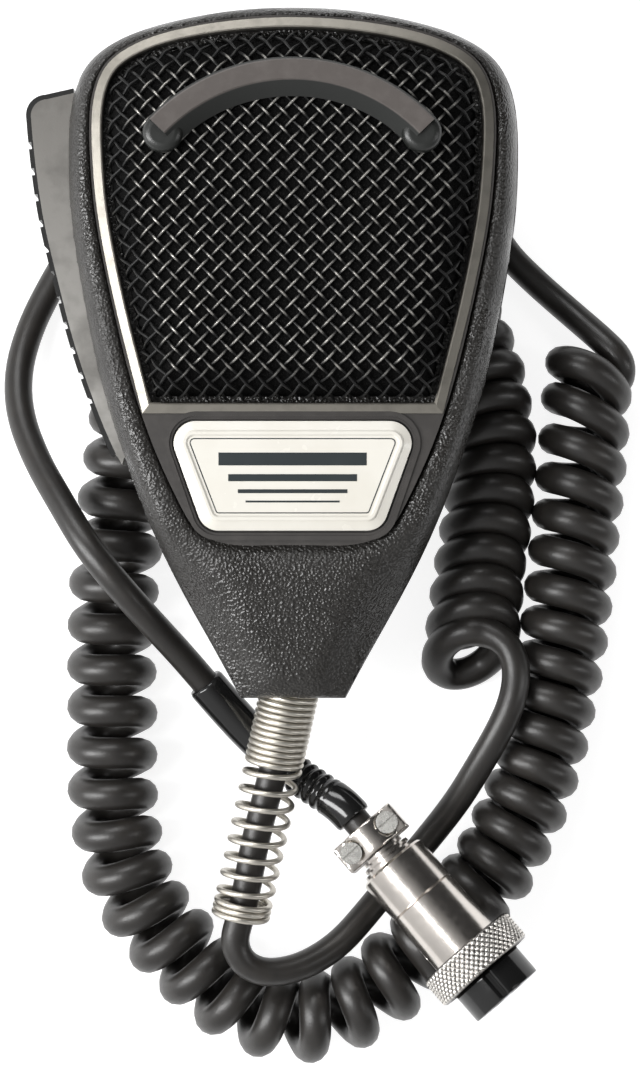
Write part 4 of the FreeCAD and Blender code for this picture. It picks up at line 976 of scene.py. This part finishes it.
def step_up(value, low, high):
    """Smooth step from 0 at low to 1 at high."""
    share = min(1.0, max(0.0, (value - low) / (high - low)))
    return share * share * (3 - 2 * share)


def evaluated_copy(obj, name):
    """New mesh of an object as its modifiers leave it."""
    bpy.context.view_layer.update()
    shaped = obj.evaluated_get(bpy.context.evaluated_depsgraph_get())
    mesh = bpy.data.meshes.new_from_object(shaped)
    mesh.name = name
    return mesh


def slope_chin_sides(mesh):
    """Lower the sides and the end of the chin towards the parting line."""
    widths = {}
    for vertex in mesh.vertices:
        row = round(vertex.co.y / MM)
        widths[row] = max(widths.get(row, 0.0), abs(vertex.co.x))
    for vertex in mesh.vertices:
        if vertex.co.z <= PARTING:
            continue
        row = vertex.co.y / MM
        low = math.floor(row)
        near = widths.get(low, 0.0)
        width = near + (widths.get(low + 1, near) - near) * (row - low)
        side = 1 - step_up(width - abs(vertex.co.x), 0.0, SIDE_REACH)
        end = 1 - step_up(NOSE_END + vertex.co.y, 0.0, NOSE_REACH)
        chin = step_up(-vertex.co.y, *CHIN_FADE)
        lowered = max(SIDE_DROP * side * chin, NOSE_DROP * end)
        vertex.co.z = PARTING + (vertex.co.z - PARTING) * (1 - lowered)


def evenly_meshed(name, source, voxel):
    """New object with a CAD piece's shape in small even faces."""
    obj = bpy.data.objects.new(name, nodes[source].data.copy())
    scene.collection.objects.link(obj)
    remesh = obj.modifiers.new("even", "REMESH")
    remesh.mode = "VOXEL"
    remesh.voxel_size = voxel
    obj.data = evaluated_copy(obj, name)
    obj.modifiers.clear()
    return obj


def ease(obj, steps, group=""):
    """Smooth the mesh by so many steps, as far as the group's weights say."""
    smooth = obj.modifiers.new("eased", "SMOOTH")
    smooth.factor = 0.5
    smooth.iterations = steps
    smooth.vertex_group = group
    obj.data = evaluated_copy(obj, obj.name)
    obj.modifiers.clear()
    obj.data.shade_smooth()


front_case = evenly_meshed("front_case", "front_shell", SHELL_VOXEL)
slope_chin_sides(front_case.data)
weights = front_case.vertex_groups.new(name="blend")
for vertex in front_case.data.vertices:
    above = step_up(vertex.co.z, *ABOVE_PARTING)
    wall = 1 - step_up(vertex.co.z, *WALL_TOP)
    chin = step_up(-vertex.co.y, *BLEND_IN) * (1 - step_up(-vertex.co.y, *BLEND_OUT))
    weights.add([vertex.index], above * (EVERYWHERE + ON_WALL * wall + ON_CHIN * chin), "REPLACE")
ease(front_case, SHELL_STEPS, "blend")
assign(front_case, LEATHER)
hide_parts("front_shell")
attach(front_case, "handset")

# Solid lower corners of the nose, where the back shell's wall runs out -------------------------

CORNER_X, CORNER_Y, CORNER_Z = 0.0056, -0.0580, 0.0235
CORNER_SHARE = 0.975


def nose_corner(side):
    """Points of the back shell's lower nose corner on one side, drawn in a little."""
    shell = bmesh.new()
    shell.from_mesh(nodes["rear_shell"].data)
    for place, outward in (((side * CORNER_X, 0, 0), (-side, 0, 0)),
                           ((0, CORNER_Y, 0), (0, 1, 0)), ((0, 0, CORNER_Z), (0, 0, 1))):
        bmesh.ops.bisect_plane(shell, geom=shell.verts[:] + shell.edges[:] + shell.faces[:],
                               plane_co=place, plane_no=outward, clear_outer=True)
    places = [vertex.co.copy() for vertex in shell.verts]
    shell.free()
    centre = sum(places, Vector((0.0, 0.0, 0.0))) / len(places)
    return [centre + (place - centre) * CORNER_SHARE for place in places]


corners = bmesh.new()
for side in (-1, 1):
    fresh = [corners.verts.new(place) for place in nose_corner(side)]
    bmesh.ops.convex_hull(corners, input=fresh)
    inner = [vertex for vertex in corners.verts if not vertex.link_faces]
    bmesh.ops.delete(corners, geom=inner, context="VERTS")
corner_mesh = bpy.data.meshes.new("nose_corners")
corners.to_mesh(corner_mesh)
corners.free()
nose_corners = bpy.data.objects.new("nose_corners", corner_mesh)
scene.collection.objects.link(nose_corners)
assign(nose_corners, LEATHER)
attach(nose_corners, "handset")

# Clamp of the plug, as rounded castings --------------------------------------------------------

CAST_VOXEL = 0.20 * MM
CAST_STEPS = 14


def casting(name, source):
    """A CAD piece with all its edges rounded off."""
    obj = evenly_meshed(name, source, CAST_VOXEL)
    ease(obj, CAST_STEPS)
    assign(obj, NICKEL)
    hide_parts(source)
    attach(obj, "handset")


casting("clamp_cheek_upper", "plug_clamp_upper")
casting("clamp_cheek_lower", "plug_clamp_lower")

# Floor and light -------------------------------------------------------------------------------

FLOOR_HALF = 3
FLOOR_Z = -0.0001

floor_mesh = bpy.data.meshes.new("floor")
floor_corners = [(x * FLOOR_HALF, y * FLOOR_HALF, 0)
                 for x, y in ((-1, -1), (1, -1), (1, 1), (-1, 1))]
floor_mesh.from_pydata(floor_corners, [], [(0, 1, 2, 3)])
floor = bpy.data.objects.new("floor", floor_mesh)
scene.collection.objects.link(floor)
floor.location.z = FLOOR_Z
floor_shader = Shader("floor", (0.40, 0.40, 0.40), 0.9)
floor_shader.set("Specular IOR Level", 0.0)
floor_shader.set("Emission Color", (1.0, 1.0, 1.0, 1.0))
floor_shader.set("Emission Strength", 0.86)
assign(floor, floor_shader.material)


def studio_world():
    """Soft room light, brighter on the lever's side than on the other."""
    world = bpy.data.worlds.new("world")
    world.use_nodes = True
    tree = world.node_tree
    place = tree.nodes.new("ShaderNodeTexCoord")
    slant = tree.nodes.new("ShaderNodeVectorMath")
    slant.operation = "DOT_PRODUCT"
    slant.inputs[1].default_value = (0.80, 0.60, 0.0)
    ramp = tree.nodes.new("ShaderNodeMapRange")
    tree.links.new(place.outputs["Generated"], slant.inputs[0])
    tree.links.new(slant.outputs["Value"], ramp.inputs["Value"])
    for socket, number in (("From Min", -0.55), ("From Max", 0.45), ("To Min", 0.75),
                           ("To Max", 0.04)):
        ramp.inputs[socket].default_value = number
    background = tree.nodes["Background"]
    background.inputs["Color"].default_value = (1.0, 1.0, 1.0, 1.0)
    tree.links.new(ramp.outputs["Result"], background.inputs["Strength"])
    scene.world = world


LIT_PLACE = Vector((0.0, -0.04, 0.02))


def area_light(name, place, width, height, power):
    """Flat rectangular lamp that faces the object."""
    data = bpy.data.lights.new(name, "AREA")
    data.shape = "RECTANGLE"
    data.size = width
    data.size_y = height
    data.energy = power
    light = bpy.data.objects.new(name, data)
    light.location = place
    light.rotation_euler = (LIT_PLACE - Vector(place)).to_track_quat("-Z", "Y").to_euler()
    scene.collection.objects.link(light)


studio_world()
area_light("key_left", (-0.50, -0.10, 0.48), 0.20, 0.60, 6.0)
area_light("back_left", (-0.16, 0.55, 0.55), 0.50, 0.20, 2.6)
area_light("right_strip", (0.58, -0.10, 0.40), 0.05, 0.50, 0.9)

scene.view_settings.view_transform = "Standard"
